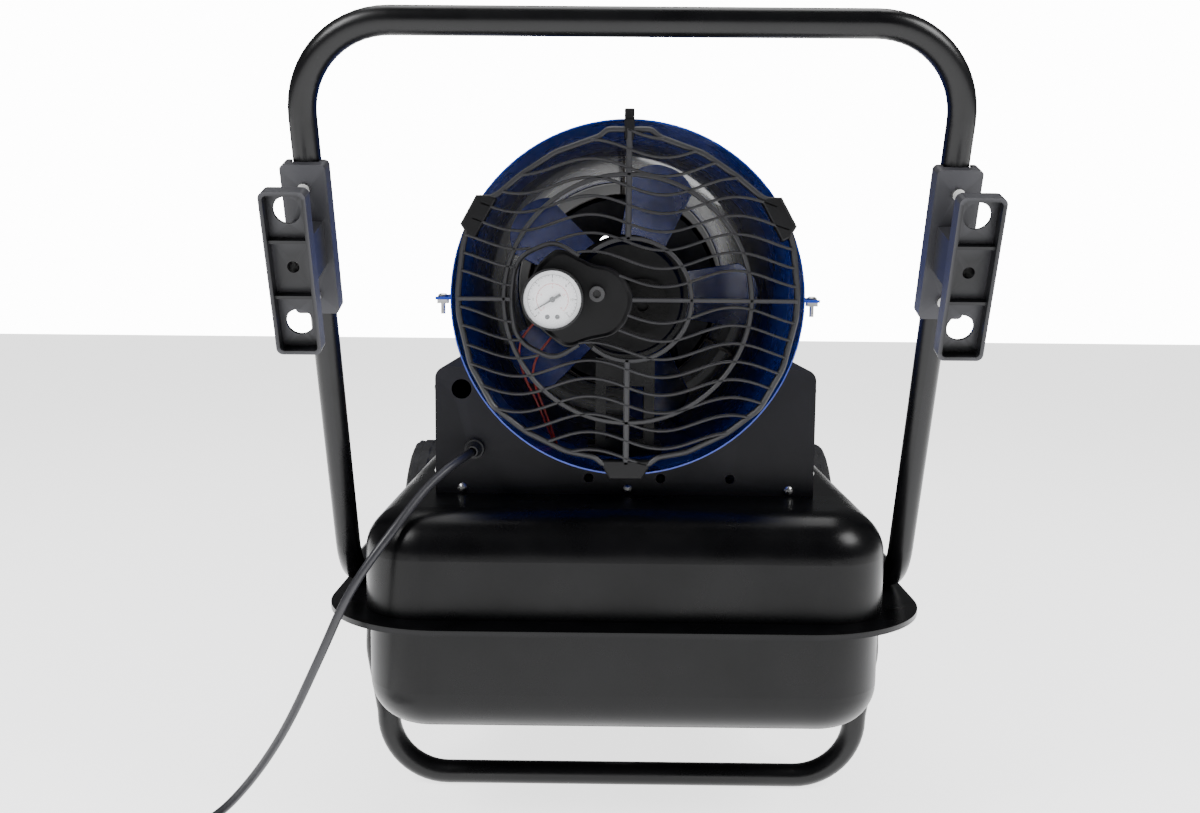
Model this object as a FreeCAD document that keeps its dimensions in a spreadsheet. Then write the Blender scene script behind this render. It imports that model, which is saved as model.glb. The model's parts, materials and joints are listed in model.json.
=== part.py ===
import FreeCAD, Part
import math
import os

# Portable forced-air oil heater with its carry handle, wheels and mains cord.
# Millimetres. +Y is the way the air blows, from the intake guard to the hot outlet nose; +X is to
# the right of someone who stands behind the intake; +Z is up and the floor is at Z = 0. X = 0 is
# the plane of symmetry, and Y = 0 is the middle of the heater's length.

os.makedirs("parts", exist_ok=True)
Vector = FreeCAD.Vector

# ---------------------------------------------------------------- driving dimensions
DIMENSIONS = [
    # fuel tank, two pressed halves joined at a flat rim
    ("rim_rear", -406.0), ("rim_front", 294.0), ("rim_half_width", 268.4), ("rim_corner", 111.6),
    ("rim_mid_z", 204.6), ("rim_sheet", 2.4), ("rim_overhang", 29.6), ("tank_wall", 1.5),
    ("upper_half_width", 231.6), ("upper_corner", 55.5), ("tank_top_z", 298.2), ("top_edge", 39.6),
    ("lower_half_width", 228.9), ("lower_corner", 58.2), ("tank_floor_z", 101.2),
    ("floor_edge", 39.7), ("cap_x", 152.0), ("cap_y", 186.0), ("neck_radius", 24.0),
    # round steel tube of the handle and the base frame
    ("tube_diameter", 22.2), ("tube_bore", 19.6), ("rail_half_gap", 255.9),
    ("handle_top_z", 692.9), ("handle_top_y", -449.2), ("handle_foot_y", -275.8),
    ("handle_corner", 73.0), ("foot_y", -237.9), ("foot_half_gap", 229.4), ("foot_corner", 58.8),
    # wheels
    ("axle_y", 359.0), ("axle_z", 127.0), ("axle_radius", 8.0), ("wheel_radius", 127.0),
    ("wheel_width", 44.4), ("wheel_inner_x", 255.0), ("bead_radius", 84.0), ("fit_gap", 0.05),
    # cradle box between tank and barrel
    ("box_rear", -271.6), ("box_front", 74.0), ("box_half_width", 176.6), ("box_top_z", 417.3),
    ("box_sheet", 1.2), ("box_corner", 11.0), ("base_plate", 1.6),
    # barrel
    ("barrel_z", 482.0), ("barrel_radius", 153.5), ("barrel_wall", 1.2), ("barrel_rear", -336.0),
    ("barrel_front", 428.0), ("seam_flange", 13.0),
    # rear guard, gauge and pump
    ("guard_radius", 146.5), ("guard_front", -336.6), ("guard_depth", 9.0), ("gauge_x", -63.5),
    ("gauge_face_y", -371.0), ("screw_x", -26.3),
    ("screw_z", 487.0),
    # rotating set
    ("shaft_radius", 6.0), ("fan_radius", 139.0), ("fan_hub_y", -150.0), ("motor_radius", 56.0),
    ("motor_rear", -282.0), ("motor_front", -176.0),
    # combustion chamber
    ("chamber_radius", 112.0), ("chamber_rear", 20.0), ("chamber_front", 449.0),
    # cord
    ("cord_diameter", 7.8), ("coil_middle_radius", 46.0),
]


class Length:
    """A driving dimension, or a sum of them: a number with the spreadsheet formula behind it."""

    def __init__(self, number, formula):
        self.number = number
        self.formula = formula

    def __float__(self):
        return float(self.number)

    def __add__(self, other):
        return Length(self.number + float(other), f"{self.formula} + ({formula_of(other)})")

    __radd__ = __add__

    def __sub__(self, other):
        return Length(self.number - float(other), f"{self.formula} - ({formula_of(other)})")

    def __rsub__(self, other):
        return Length(float(other) - self.number, f"({formula_of(other)}) - ({self.formula})")

    def __mul__(self, factor):
        return Length(self.number * factor, f"({self.formula}) * {factor}")

    __rmul__ = __mul__

    def __neg__(self):
        return Length(-self.number, f"-({self.formula})")


def formula_of(value):
    """The formula of a Length, or the number itself."""
    return value.formula if isinstance(value, Length) else f"{float(value):.4f} mm"


doc = FreeCAD.newDocument("heater")
sheet = doc.addObject("Spreadsheet::Sheet", "dims")
sheet.Label = "dims"


class Dimensions:
    """Every driving dimension under its own name."""


dim = Dimensions()
for row, (alias, size) in enumerate(DIMENSIONS, start=1):
    sheet.set(f"A{row}", alias)
    sheet.set(f"B{row}", str(size))
    sheet.setAlias(f"B{row}", alias)
    setattr(dim, alias, Length(size, f"dims.{alias} * 1 mm"))
doc.recompute()

# ---------------------------------------------------------------- directions
ALONG_X = FreeCAD.Rotation(Vector(1, 1, 1), 120)       # local x, y, z become Y, Z, X
ALONG_Y = FreeCAD.Rotation(Vector(1, 0, 0), 90)        # local x, y, z become X, Z, -Y
ALONG_Z = FreeCAD.Rotation()
nodes = {}


def node(label, item):
    """Name an object as one physical piece of the heater."""
    item.Label = label
    nodes[label] = item
    return item


def bind(item, prop, value):
    """Set a property to a number, or tie it to the spreadsheet."""
    if isinstance(value, Length):
        item.setExpression(prop, value.formula)
    else:
        item.setExpression(prop, f"{float(value):.4f} mm")


def put(item, at, rotation=ALONG_Z):
    """Turn an object and place its own origin at a point."""
    item.Placement = FreeCAD.Placement(Vector(*[float(v) for v in at]), rotation)
    for axis, value in zip("xyz", at):
        if isinstance(value, Length):
            item.setExpression(f"Placement.Base.{axis}", value.formula)
    return item


# ---------------------------------------------------------------- primitives
def rod(label, radius, length, at, rotation=ALONG_Z):
    """A round bar that starts at a point and runs along local z."""
    item = doc.addObject("Part::Cylinder", label)
    bind(item, "Radius", radius)
    bind(item, "Height", length)
    return put(item, at, rotation)


def block(label, size, at, rotation=ALONG_Z):
    """A rectangular block from its low corner."""
    item = doc.addObject("Part::Box", label)
    for prop, value in zip(("Length", "Width", "Height"), size):
        bind(item, prop, value)
    return put(item, at, rotation)


def joined(label, pieces):
    """One solid from several that touch."""
    item = doc.addObject("Part::MultiFuse", label)
    item.Shapes = pieces
    item.Refine = True
    return item


def group(label, pieces):
    """Separate solids, such as a set of screws, kept together in one piece list."""
    item = doc.addObject("Part::Compound", label)
    item.Links = pieces
    return item


def cut(label, base, tools):
    """A solid with others taken out of it."""
    item = doc.addObject("Part::Cut", label)
    item.Base = base
    item.Tool = tools[0] if len(tools) == 1 else joined(label + "_tools", tools)
    return item


def ring(label, outer, inner, length, at, rotation=ALONG_Z):
    """A round tube or washer."""
    return cut(label, rod(label + "_outer", outer, length, at, rotation),
               [rod(label + "_inner", inner, length, at, rotation)])


# ---------------------------------------------------------------- sketched bodies
def line(a, b):
    return Part.LineSegment(Vector(*a, 0), Vector(*b, 0))


def arc(a, middle, b):
    return Part.Arc(Vector(*a, 0), Vector(*middle, 0), Vector(*b, 0))


def circle(centre, radius):
    return Part.Circle(Vector(*centre, 0), Vector(0, 0, 1), float(radius))


def polygon(points):
    return [line(a, b) for a, b in zip(points, points[1:] + points[:1])]


def rounded(x0, x1, y0, y1, radius):
    """A rectangle with round corners."""
    x0, x1, y0, y1, r = [float(v) for v in (x0, x1, y0, y1, radius)]
    k = r * (1 - math.sqrt(0.5))
    return [line((x0 + r, y0), (x1 - r, y0)), arc((x1 - r, y0), (x1 - k, y0 + k), (x1, y0 + r)),
            line((x1, y0 + r), (x1, y1 - r)), arc((x1, y1 - r), (x1 - k, y1 - k), (x1 - r, y1)),
            line((x1 - r, y1), (x0 + r, y1)), arc((x0 + r, y1), (x0 + k, y1 - k), (x0, y1 - r)),
            line((x0, y1 - r), (x0, y0 + r)), arc((x0, y0 + r), (x0 + k, y0 + k), (x0 + r, y0))]


def sketch_on(body, role, outline, height=0.0):
    """A sketch on one of the body's own origin planes, lifted by a height."""
    plane = [f for f in body.Origin.OriginFeatures if f.Role == role][0]
    sketch = body.newObject("Sketcher::SketchObject", body.Label + "_sketch")
    sketch.AttachmentSupport = [(plane, "")]
    sketch.MapMode = "FlatFace"
    bind(sketch, "AttachmentOffset.Base.z", height)
    sketch.addGeometry(outline, False)
    return sketch


def padded(label, outline, length, at, rotation=ALONG_Z):
    """A sheet or bar of constant outline, drawn in local x and y."""
    body = doc.addObject("PartDesign::Body", label)
    sketch = sketch_on(body, "XY_Plane", outline)
    pad = body.newObject("PartDesign::Pad", label + "_pad")
    pad.Profile = sketch
    bind(pad, "Length", length)
    return put(body, at, rotation)


def turned(label, points, at=(0, 0, 0), axis="Y"):
    """A turned piece: points are (place along the axis, radius)."""
    if axis == "Z":
        points = [(radius, along) for along, radius in points]
    body = doc.addObject("PartDesign::Body", label)
    outline = polygon([(float(a), float(b)) for a, b in points])
    sketch = sketch_on(body, "YZ_Plane" if axis == "Y" else "XZ_Plane", outline)
    spin = body.newObject("PartDesign::Revolution", label + "_turn")
    spin.Profile = sketch
    spin.ReferenceAxis = (sketch, ["V_Axis" if axis == "Z" else "H_Axis"])
    spin.Angle = 360
    return put(body, at)


# ---------------------------------------------------------------- bent tubes and cords
def bent_path(points, radii):
    """Straight runs joined by tangent arcs; one radius for each inner point."""
    points = [Vector(*[float(v) for v in p]) for p in points]
    edges = []
    start = points[0]
    for before, corner, after, radius in zip(points, points[1:], points[2:], radii):
        back = (before - corner).normalize()
        ahead = (after - corner).normalize()
        half_turn = (math.pi - back.getAngle(ahead)) / 2
        reach = radius * math.tan(half_turn)
        bisector = (back + ahead).normalize()
        middle = corner + bisector * (radius / math.cos(half_turn) - radius)
        enter = corner + back * reach
        leave = corner + ahead * reach
        if (enter - start).Length > 0.001:
            edges.append(Part.LineSegment(start, enter).toShape())
        edges.append(Part.Arc(enter, middle, leave).toShape())
        start = leave
    edges.append(Part.LineSegment(start, points[-1]).toShape())
    return Part.Wire(edges)


def swept(path, radius):
    """A round bar along a path."""
    start = path.Edges[0]
    direction = start.tangentAt(start.FirstParameter)
    at = start.valueAt(start.FirstParameter)
    section = Part.Wire(Part.makeCircle(float(radius), at, direction))
    return Part.makeSolid(path.makePipeShell([section], True, True))


def feature(label, shape, at=(0, 0, 0)):
    """A piece whose shape is set directly."""
    item = doc.addObject("Part::Feature", label)
    item.Shape = shape
    item.Placement = FreeCAD.Placement(Vector(*at), FreeCAD.Rotation())
    return item


def tube_shape(points, radii):
    """A bent steel tube with its bore."""
    path = bent_path(points, radii)
    return swept(path, dim.tube_diameter * 0.5).cut(swept(path, dim.tube_bore * 0.5))


def mirrored(points):
    """The same points on the other side, from the far end back to the middle."""
    return [(-float(x), y, z) for x, y, z in reversed(points)]


def hexagon(radius, centre=(0.0, 0.0)):
    """A hexagon by its corner radius."""
    return polygon([(centre[0] + radius * math.cos(math.radians(60 * k)),
                     centre[1] + radius * math.sin(math.radians(60 * k))) for k in range(6)])


# ---------------------------------------------------------------- fuel tank
def tank_half(label, half_width, corner, edge, z_rim, z_end, holes):
    """One pressed half: an open pan with a round edge, and its flat rim."""
    up = 1 if float(z_end) > float(z_rim) else -1
    body = doc.addObject("PartDesign::Body", label)
    y0 = dim.rim_rear + dim.rim_overhang
    y1 = dim.rim_front - dim.rim_overhang
    outline = rounded(-half_width, half_width, y0, y1, corner)
    pan_sketch = sketch_on(body, "XY_Plane", outline, z_rim)
    pan = body.newObject("PartDesign::Pad", label + "_pan")
    pan.Profile = pan_sketch
    bind(pan, "Length", (z_end - z_rim) * up)
    pan.Reversed = up < 0
    doc.recompute()
    end_edges = []
    for index, line_edge in enumerate(pan.Shape.Edges, start=1):
        if all(abs(v.Z - float(z_end)) < 0.01 for v in line_edge.Vertexes):
            end_edges.append(f"Edge{index}")
    crown = body.newObject("PartDesign::Fillet", label + "_crown")
    crown.Base = (pan, end_edges)
    bind(crown, "Radius", edge)
    doc.recompute()
    open_face = [f"Face{i}" for i, face in enumerate(crown.Shape.Faces, start=1)
                 if abs(face.CenterOfMass.z - float(z_rim)) < 0.01]
    hollow = body.newObject("PartDesign::Thickness", label + "_hollow")
    hollow.Base = (crown, open_face)
    bind(hollow, "Value", dim.tank_wall)
    hollow.Reversed = True
    doc.recompute()
    mouth = rounded(dim.tank_wall - half_width, half_width - dim.tank_wall, y0 + dim.tank_wall,
                    y1 - dim.tank_wall, corner - dim.tank_wall)
    rim = rounded(-dim.rim_half_width, dim.rim_half_width, dim.rim_rear, dim.rim_front,
                  dim.rim_corner)
    rim_sketch = sketch_on(body, "XY_Plane", rim + mouth + holes, z_rim)
    flange = body.newObject("PartDesign::Pad", label + "_rim")
    flange.Profile = rim_sketch
    bind(flange, "Length", dim.rim_sheet)
    flange.Reversed = up < 0
    doc.recompute()
    body.Tip = flange
    return body


BOLT_ROWS_Y = (-60.0, 60.0)
RIM_BOLT_RADIUS = 3.0
bolt_places = [(side * float(dim.rail_half_gap), y) for side in (-1, 1) for y in BOLT_ROWS_Y]
bolt_holes = [circle(p, RIM_BOLT_RADIUS + 0.4) for p in bolt_places]

upper_pan = tank_half("tank_upper_pan", dim.upper_half_width, dim.upper_corner, dim.top_edge,
                      dim.rim_mid_z, dim.tank_top_z, bolt_holes)
NECK_OPENING = 20.0
FLOAT_OPENING = 15.0
neck_hole = rod("neck_hole", NECK_OPENING, 20, (dim.cap_x, dim.cap_y, dim.tank_top_z - 10))
float_hole = rod("float_hole", FLOAT_OPENING, 20, (-dim.cap_x, dim.cap_y, dim.tank_top_z - 10))
node("tank_upper_half", cut("tank_upper_cut", upper_pan, [neck_hole, float_hole]))

lower_pan = tank_half("tank_lower_pan", dim.lower_half_width, dim.lower_corner, dim.floor_edge,
                      dim.rim_mid_z, dim.tank_floor_z, bolt_holes)
DRAIN_Y = -180.0
DRAIN_RADIUS = 7.0
drain_hole = rod("drain_hole", DRAIN_RADIUS, 10, (0, DRAIN_Y, dim.tank_floor_z - 4))
node("tank_lower_half", cut("tank_lower_cut", lower_pan, [drain_hole]))
drain_head = padded("drain_head", hexagon(11.5), 7, (0, DRAIN_Y, dim.tank_floor_z - 7))
drain_stem = rod("drain_stem", DRAIN_RADIUS - 0.2, 9, (0, DRAIN_Y, dim.tank_floor_z))
node("drain_plug", joined("drain_plug_solid", [drain_head, drain_stem]))

# filler neck, cap, float gauge
neck_points = [(-6, NECK_OPENING - 2), (-6, NECK_OPENING - 0.2), (0, NECK_OPENING - 0.2),
               (0, dim.neck_radius + 7), (2, dim.neck_radius + 7), (2, dim.neck_radius),
               (20, dim.neck_radius), (20, dim.neck_radius - 2), (2, dim.neck_radius - 2),
               (2, NECK_OPENING - 2)]
node("filler_neck", turned("filler_neck_turned", neck_points,
                           (dim.cap_x, dim.cap_y, dim.tank_top_z), "Z"))
cap_points = [(5, dim.neck_radius + 0.4), (5, 33), (8, 34), (25, 33), (28, 29), (28, 0),
              (22, 0), (22, dim.neck_radius + 0.4)]
cap_body = turned("cap_body", cap_points, (dim.cap_x, dim.cap_y, dim.tank_top_z), "Z")
CAP_GRIPS = 12
grips = []
for k in range(CAP_GRIPS):
    angle = math.radians(360 / CAP_GRIPS * k)
    grips.append(rod(f"cap_grip_{k}", 2.6, 14, (dim.cap_x + 33 * math.cos(angle),
                     dim.cap_y + 33 * math.sin(angle), dim.tank_top_z + 8)))
node("fuel_cap", joined("fuel_cap_solid", [cap_body] + grips))
float_points = [(-9, 0), (-9, FLOAT_OPENING - 0.2), (0, FLOAT_OPENING - 0.2), (0, 24), (5, 24),
                (7, 21), (7, 16), (5, 16), (5, 0)]
node("fuel_gauge", turned("fuel_gauge_turned", float_points,
                          (-dim.cap_x, dim.cap_y, dim.tank_top_z), "Z"))

# ---------------------------------------------------------------- handle and base frame
TUBE_HALF = dim.tube_diameter * 0.5
handle_rail_z = dim.rim_mid_z + dim.rim_sheet + TUBE_HALF
frame_rail_z = dim.rim_mid_z - dim.rim_sheet - TUBE_HALF
HANDLE_END_Y = 92.0
right_handle = [(dim.rail_half_gap, dim.handle_top_y, dim.handle_top_z),
                (dim.rail_half_gap, dim.handle_foot_y, handle_rail_z),
                (dim.rail_half_gap, HANDLE_END_Y, handle_rail_z)]
handle_points = mirrored(right_handle) + right_handle
handle_corner = float(dim.handle_corner)
handle_shape = tube_shape(handle_points, [58.0, handle_corner, handle_corner, 58.0])

FRAME_END_Z = 104.0
AXLE_RAIL_X = 238.0
REAR_RAIL_X = 241.2
right_frame = [(dim.foot_half_gap, dim.foot_y, TUBE_HALF), (dim.foot_half_gap, dim.foot_y, 73.5),
               (REAR_RAIL_X, dim.foot_y + 6, 135), (REAR_RAIL_X, dim.foot_y + 17, frame_rail_z),
               (REAR_RAIL_X, -165, frame_rail_z), (dim.rail_half_gap, -105, frame_rail_z),
               (dim.rail_half_gap, 165, frame_rail_z), (AXLE_RAIL_X, 235, frame_rail_z),
               (AXLE_RAIL_X, dim.axle_y, frame_rail_z), (AXLE_RAIL_X, dim.axle_y, FRAME_END_Z)]
frame_points = mirrored(right_frame) + right_frame
frame_radii = [45.0, 80.0, 80.0, 80.0, 80.0, 28.0, 60.0, 30.0, float(dim.foot_corner)]
frame_shape = tube_shape(frame_points, frame_radii + frame_radii[::-1])

bolt_tools = [Part.makeCylinder(RIM_BOLT_RADIUS + 0.4, 90, Vector(x, y, 160))
              for x, y in bolt_places]
axle_tool = Part.makeCylinder(float(dim.axle_radius + dim.fit_gap), 600,
                              Vector(-300, float(dim.axle_y), float(dim.axle_z)), Vector(1, 0, 0))
LEG_SPAN = Vector(0, float(dim.handle_top_y - dim.handle_foot_y),
                  float(dim.handle_top_z - handle_rail_z))
LEG_UP = Vector(LEG_SPAN).normalize()
LEG_OUT = Vector(0, -LEG_UP.z, LEG_UP.y)
LEG_FOOT = Vector(0, float(dim.handle_foot_y), float(handle_rail_z))


def leg_point(x, along, out):
    """A point by its place along a handle leg and its stand-off to the rear."""
    return LEG_FOOT + Vector(x, 0, 0) + LEG_UP * along + LEG_OUT * out


HOOK_HEIGHTS = (291.0, 380.5)
hook_tools = []
for side in (-1, 1):
    for along in HOOK_HEIGHTS:
        start = leg_point(side * float(dim.rail_half_gap), along, -20)
        hook_tools.append(Part.makeCylinder(2.6, 40, start, LEG_OUT))
node("handle_tube", feature("handle_tube_bent", handle_shape.cut(bolt_tools).cut(hook_tools)))
node("base_frame", feature("base_frame_bent", frame_shape.cut(bolt_tools).cut(axle_tool)))

plugs = []
for side in (-1, 1):
    x = side * dim.rail_half_gap
    plugs.append(turned(f"handle_plug_{side}", [(-14, 0), (-14, 9.6), (0, 9.6), (0, 11.1),
                                                (2.5, 11.1), (4, 9.5), (4, 0)],
                        (x, HANDLE_END_Y, handle_rail_z)))
    plugs.append(turned(f"frame_plug_{side}", [(8, 0), (8, 9.6), (0, 9.6), (0, 11.1),
                                               (-2.5, 11.1), (-4, 9.5), (-4, 0)],
                        (side * AXLE_RAIL_X, dim.axle_y, FRAME_END_Z), "Z"))
node("tube_end_plugs", group("tube_end_plug_set", plugs))

bolts = []
BOLT_TOP = handle_rail_z + TUBE_HALF
BOLT_END = frame_rail_z - TUBE_HALF
for k, (x, y) in enumerate(bolt_places):
    stem = rod(f"bolt_stem_{k}", RIM_BOLT_RADIUS, 64, (x, y, BOLT_TOP - 63.6))
    head = rod(f"bolt_head_{k}", 6.0, 4.2, (x, y, BOLT_TOP + 0.2))
    bolts.append(joined(f"bolt_{k}", [stem, head]))
    nut = padded(f"nut_block_{k}", hexagon(6.2) + [circle((0, 0), RIM_BOLT_RADIUS + 0.05)], 5,
                 (x, y, BOLT_END - 5.2))
    bolts.append(nut)
node("frame_bolts", group("frame_bolt_set", bolts))

# ---------------------------------------------------------------- axle and wheels
AXLE_HALF = 309.0
node("axle", rod("axle_bar", dim.axle_radius, 2 * AXLE_HALF, (-AXLE_HALF, dim.axle_y, dim.axle_z),
                 ALONG_X))
bore = dim.axle_radius + dim.fit_gap
spacers = []
push_caps = []
for side in (-1, 1):
    inner = side * (AXLE_RAIL_X + TUBE_HALF + 0.1)
    points = [(0, bore), (0, 12), (side * 5.3, 12), (side * 5.3, bore)]
    spacers.append(turned(f"spacer_{side}", points, (inner, dim.axle_y, dim.axle_z), "X"))
    cap_start = side * (dim.wheel_inner_x + dim.wheel_width + 0.5)
    points = [(0, bore), (0, 13), (side * 3, 13), (side * 5, 11), (side * 9, 10.2),
              (side * 10.5, 8), (side * 10.5, 0), (side * 9.3, 0), (side * 9.3, bore)]
    push_caps.append(turned(f"push_cap_{side}", points, (cap_start, dim.axle_y, dim.axle_z), "X"))
node("axle_retainers", group("axle_retainer_set", spacers + push_caps))

TREAD_HALF = 14.0
HOLE_CIRCLE = 48.0
HUB_RADIUS = 19.0
for side, name in ((-1, "left"), (1, "right")):
    half = dim.wheel_width * 0.5
    middle = (side * (dim.wheel_inner_x + half), dim.axle_y, dim.axle_z)
    w = float(half)
    r = float(dim.wheel_radius)
    bead = float(dim.bead_radius)
    tyre_points = [(-w + 5, bead), (w - 5, bead), (w - 1.5, bead + 10), (w, r - 22), (w - 1, r - 12),
                   (TREAD_HALF + 4, r - 3.5), (TREAD_HALF, r), (-TREAD_HALF, r),
                   (-TREAD_HALF - 4, r - 3.5), (1 - w, r - 12), (-w, r - 22), (1.5 - w, bead + 10)]
    node(f"tyre_{name}", turned(f"tyre_{name}_turned", tyre_points, middle, "X"))
    rim_points = [(-w + 5, bead - 9), (-w + 5, bead - 0.1), (w - 5, bead - 0.1), (w - 5, bead - 9),
                  (w - 7.5, bead - 9), (w - 7.5, bead - 4), (3, bead - 6), (3, HUB_RADIUS - 2),
                  (-3, HUB_RADIUS - 2), (-3, bead - 6), (-w + 7.5, bead - 4), (-w + 7.5, bead - 9)]
    disc = turned(f"disc_{name}", rim_points, middle, "X")
    slots = []
    SPOKES = 5
    for k in range(SPOKES):
        angle = math.radians(360 / SPOKES * k + 90)
        slots.append(rod(f"disc_hole_{name}_{k}", 17, 20,
                         (middle[0] - 10, dim.axle_y + HOLE_CIRCLE * math.cos(angle),
                          dim.axle_z + HOLE_CIRCLE * math.sin(angle)), ALONG_X))
    web = cut(f"web_{name}", disc, slots)
    hub = turned(f"hub_{name}", [(-w, bore), (-w, HUB_RADIUS), (w, HUB_RADIUS), (w, bore)], middle,
                 "X")
    node(f"wheel_rim_{name}", joined(f"wheel_rim_{name}_solid", [web, hub]))

# ---------------------------------------------------------------- cradle box
BOX_FLOOR = dim.tank_top_z + 0.1
box_height = dim.box_top_z - BOX_FLOOR
half = float(dim.box_half_width)
drop = float(dim.barrel_z - BOX_FLOOR)
seat = float(dim.barrel_radius) + 0.2
box_top = float(box_height)
corner = float(dim.box_corner)
seat_half = math.sqrt(seat ** 2 - (drop - box_top) ** 2)


def saddle_outline(width, top, holes):
    """A plate with round upper corners and a round seat for the barrel cut into its top."""
    k = corner * (1 - math.sqrt(0.5))
    outline = [line((-width, 0), (width, 0)), line((width, 0), (width, top - corner)),
               arc((width, top - corner), (width - k, top - k), (width - corner, top)),
               line((width - corner, top), (seat_half, top)),
               arc((seat_half, top), (0, drop - seat), (-seat_half, top)),
               line((-seat_half, top), (corner - width, top)),
               arc((corner - width, top), (k - width, top - k), (-width, top - corner)),
               line((-width, top - corner), (-width, 0))]
    return outline + holes


GLAND_X = -139.7
GLAND_Z = 341.1 - float(BOX_FLOOR)
LAMP_X = -152.1
LAMP_Z = 396.4 - float(BOX_FLOOR)
rear_holes = [circle((GLAND_X, GLAND_Z), 7.0), circle((LAMP_X, LAMP_Z), 9.2)]
rear_holes += [circle((x, 15.6), 4.4) for x in (-33.4, 33.8, 98.6)]
node("cradle_rear_plate", padded("cradle_rear_sheet", saddle_outline(half, box_top, rear_holes),
                                 dim.box_sheet, (0, dim.box_rear + dim.box_sheet, BOX_FLOOR),
                                 ALONG_Y))
node("cradle_front_plate", padded("cradle_front_sheet", saddle_outline(half, box_top, []),
                                  dim.box_sheet, (0, dim.box_front, BOX_FLOOR), ALONG_Y))
INNER_LENGTH = dim.box_front - dim.box_rear - dim.box_sheet * 2 - 0.2
inner_start = dim.box_rear + dim.box_sheet + 0.1
plate_width = 2 * (dim.box_half_width - dim.box_sheet - 0.2)
base_sheet = block("cradle_base_sheet", (plate_width, INNER_LENGTH, dim.base_plate),
                   (dim.box_sheet + 0.2 - dim.box_half_width, inner_start, BOX_FLOOR))
BOARD_X = -150.0
board_tabs = [block(f"board_tab_{k}", (2, 8, 60), (BOARD_X + 1.7, y, BOX_FLOOR))
              for k, y in enumerate((-203.0, -95.0))]
node("cradle_base_plate", joined("cradle_base_solid", [base_sheet] + board_tabs))


def side_cover(label, side):
    """A side wall that turns in over the box top and stops short of the barrel."""
    t = float(dim.box_sheet)
    c = corner
    k = c * (1 - math.sqrt(0.5))
    inner_k = (c - t) * (1 - math.sqrt(0.5)) + t
    end = seat_half + 4.5
    outline = [line((side * half, 0), (side * half, box_top - c)),
               arc((side * half, box_top - c), (side * (half - k), box_top - k),
                   (side * (half - c), box_top)),
               line((side * (half - c), box_top), (side * end, box_top)),
               line((side * end, box_top), (side * end, box_top - t)),
               line((side * end, box_top - t), (side * (half - c), box_top - t)),
               arc((side * (half - c), box_top - t), (side * (half - inner_k), box_top - inner_k),
                   (side * (half - t), box_top - c)),
               line((side * (half - t), box_top - c), (side * (half - t), 0)),
               line((side * (half - t), 0), (side * half, 0))]
    return padded(label, outline, INNER_LENGTH, (0, dim.box_front - dim.box_sheet - 0.1, BOX_FLOOR),
                  ALONG_Y)


SWITCH_Y = -196.0
KNOB_Y = -106.0
WINDOW_Y = -152.0
CONTROL_Z = 362.0
SWITCH_HALF = (10.5, 14.0)
WINDOW_HALF = (17.0, 9.0)
KNOB_STEM = 3.0
left_wall = side_cover("left_wall", -1)
wall_cuts = [block("switch_hole", (20, 2 * SWITCH_HALF[0], 2 * SWITCH_HALF[1]),
                   (-dim.box_half_width - 10, SWITCH_Y - SWITCH_HALF[0], CONTROL_Z - SWITCH_HALF[1])),
             block("window_hole", (20, 2 * WINDOW_HALF[0], 2 * WINDOW_HALF[1]),
                   (-dim.box_half_width - 10, WINDOW_Y - WINDOW_HALF[0], CONTROL_Z - WINDOW_HALF[1])),
             rod("knob_hole", KNOB_STEM + 1, 20, (-dim.box_half_width - 10, KNOB_Y, CONTROL_Z),
                 ALONG_X)]
node("cradle_left_cover", cut("cradle_left_cut", left_wall, wall_cuts))
node("cradle_right_cover", side_cover("cradle_right_wall", 1))

# screws of the box
box_screws = []


def pan_screw(label, x, y, z, direction):
    """A small pan-head screw whose head stands on a face and whose stem is cut short."""
    head = Part.makeSphere(5.2, Vector(0, 0, -2.6)).common(
        Part.makeCylinder(5.2, 2.6, Vector(0, 0, 0.0)))
    turn = FreeCAD.Rotation(Vector(0, 0, 1), Vector(*direction))
    item = feature(label, head)
    return put(item, (x, y, z), turn)


REAR_SCREWS_X = (-151.5, 2.9, 153.3)
for k, x in enumerate(REAR_SCREWS_X):
    box_screws.append(pan_screw(f"rear_screw_{k}", x, dim.box_rear - 0.05, 303.5, (0, -1, 0)))
for side in (-1, 1):
    for k, (y, z) in enumerate(((-258.0, 396.0), (-258.0, 318.0), (60.0, 396.0), (60.0, 318.0))):
        box_screws.append(pan_screw(f"side_screw_{side}_{k}",
                                    side * (dim.box_half_width + 0.05), y, z, (side, 0, 0)))

# controls in the left cover
frame_out = padded("switch_bezel", rounded(-13.5, 13.5, -17, 17, 3) + rounded(-8.6, 8.6, -11.6, 11.6, 1),
                   2.4, (-dim.box_half_width - 0.05 - 2.4, SWITCH_Y, CONTROL_Z), ALONG_X)
well = padded("switch_well", rounded(-10.2, 10.2, -13.7, 13.7, 0.5)
              + rounded(-8.6, 8.6, -11.6, 11.6, 0.5), 16,
              (-dim.box_half_width - 0.05, SWITCH_Y, CONTROL_Z), ALONG_X)
back = block("switch_back", (2, 20.4, 27.4), (-dim.box_half_width + 15.95, SWITCH_Y - 10.2,
                                             CONTROL_Z - 13.7))
node("switch_housing", joined("switch_housing_solid", [frame_out, well, back]))
ROCKER_TURN = FreeCAD.Rotation(Vector(0, 0, 1), Vector(-1, 0, 0), Vector(0, -1, 0), "ZXY")
ROCKER_HALF = 8.2
rocker_outline = [line((-9.6, 3.4), (-9.0, -2.5)), line((-9.0, -2.5), (9.0, -2.5)),
                  line((9.0, -2.5), (9.6, 3.4)), arc((9.6, 3.4), (0, 1.6), (-9.6, 3.4))]
rocker = padded("rocker_pad", rocker_outline, 2 * ROCKER_HALF,
                (-dim.box_half_width, SWITCH_Y + ROCKER_HALF, CONTROL_Z), ROCKER_TURN)
ROCKER_PIVOT = Vector(-float(dim.box_half_width) + 2.5, 0, CONTROL_Z)
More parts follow.
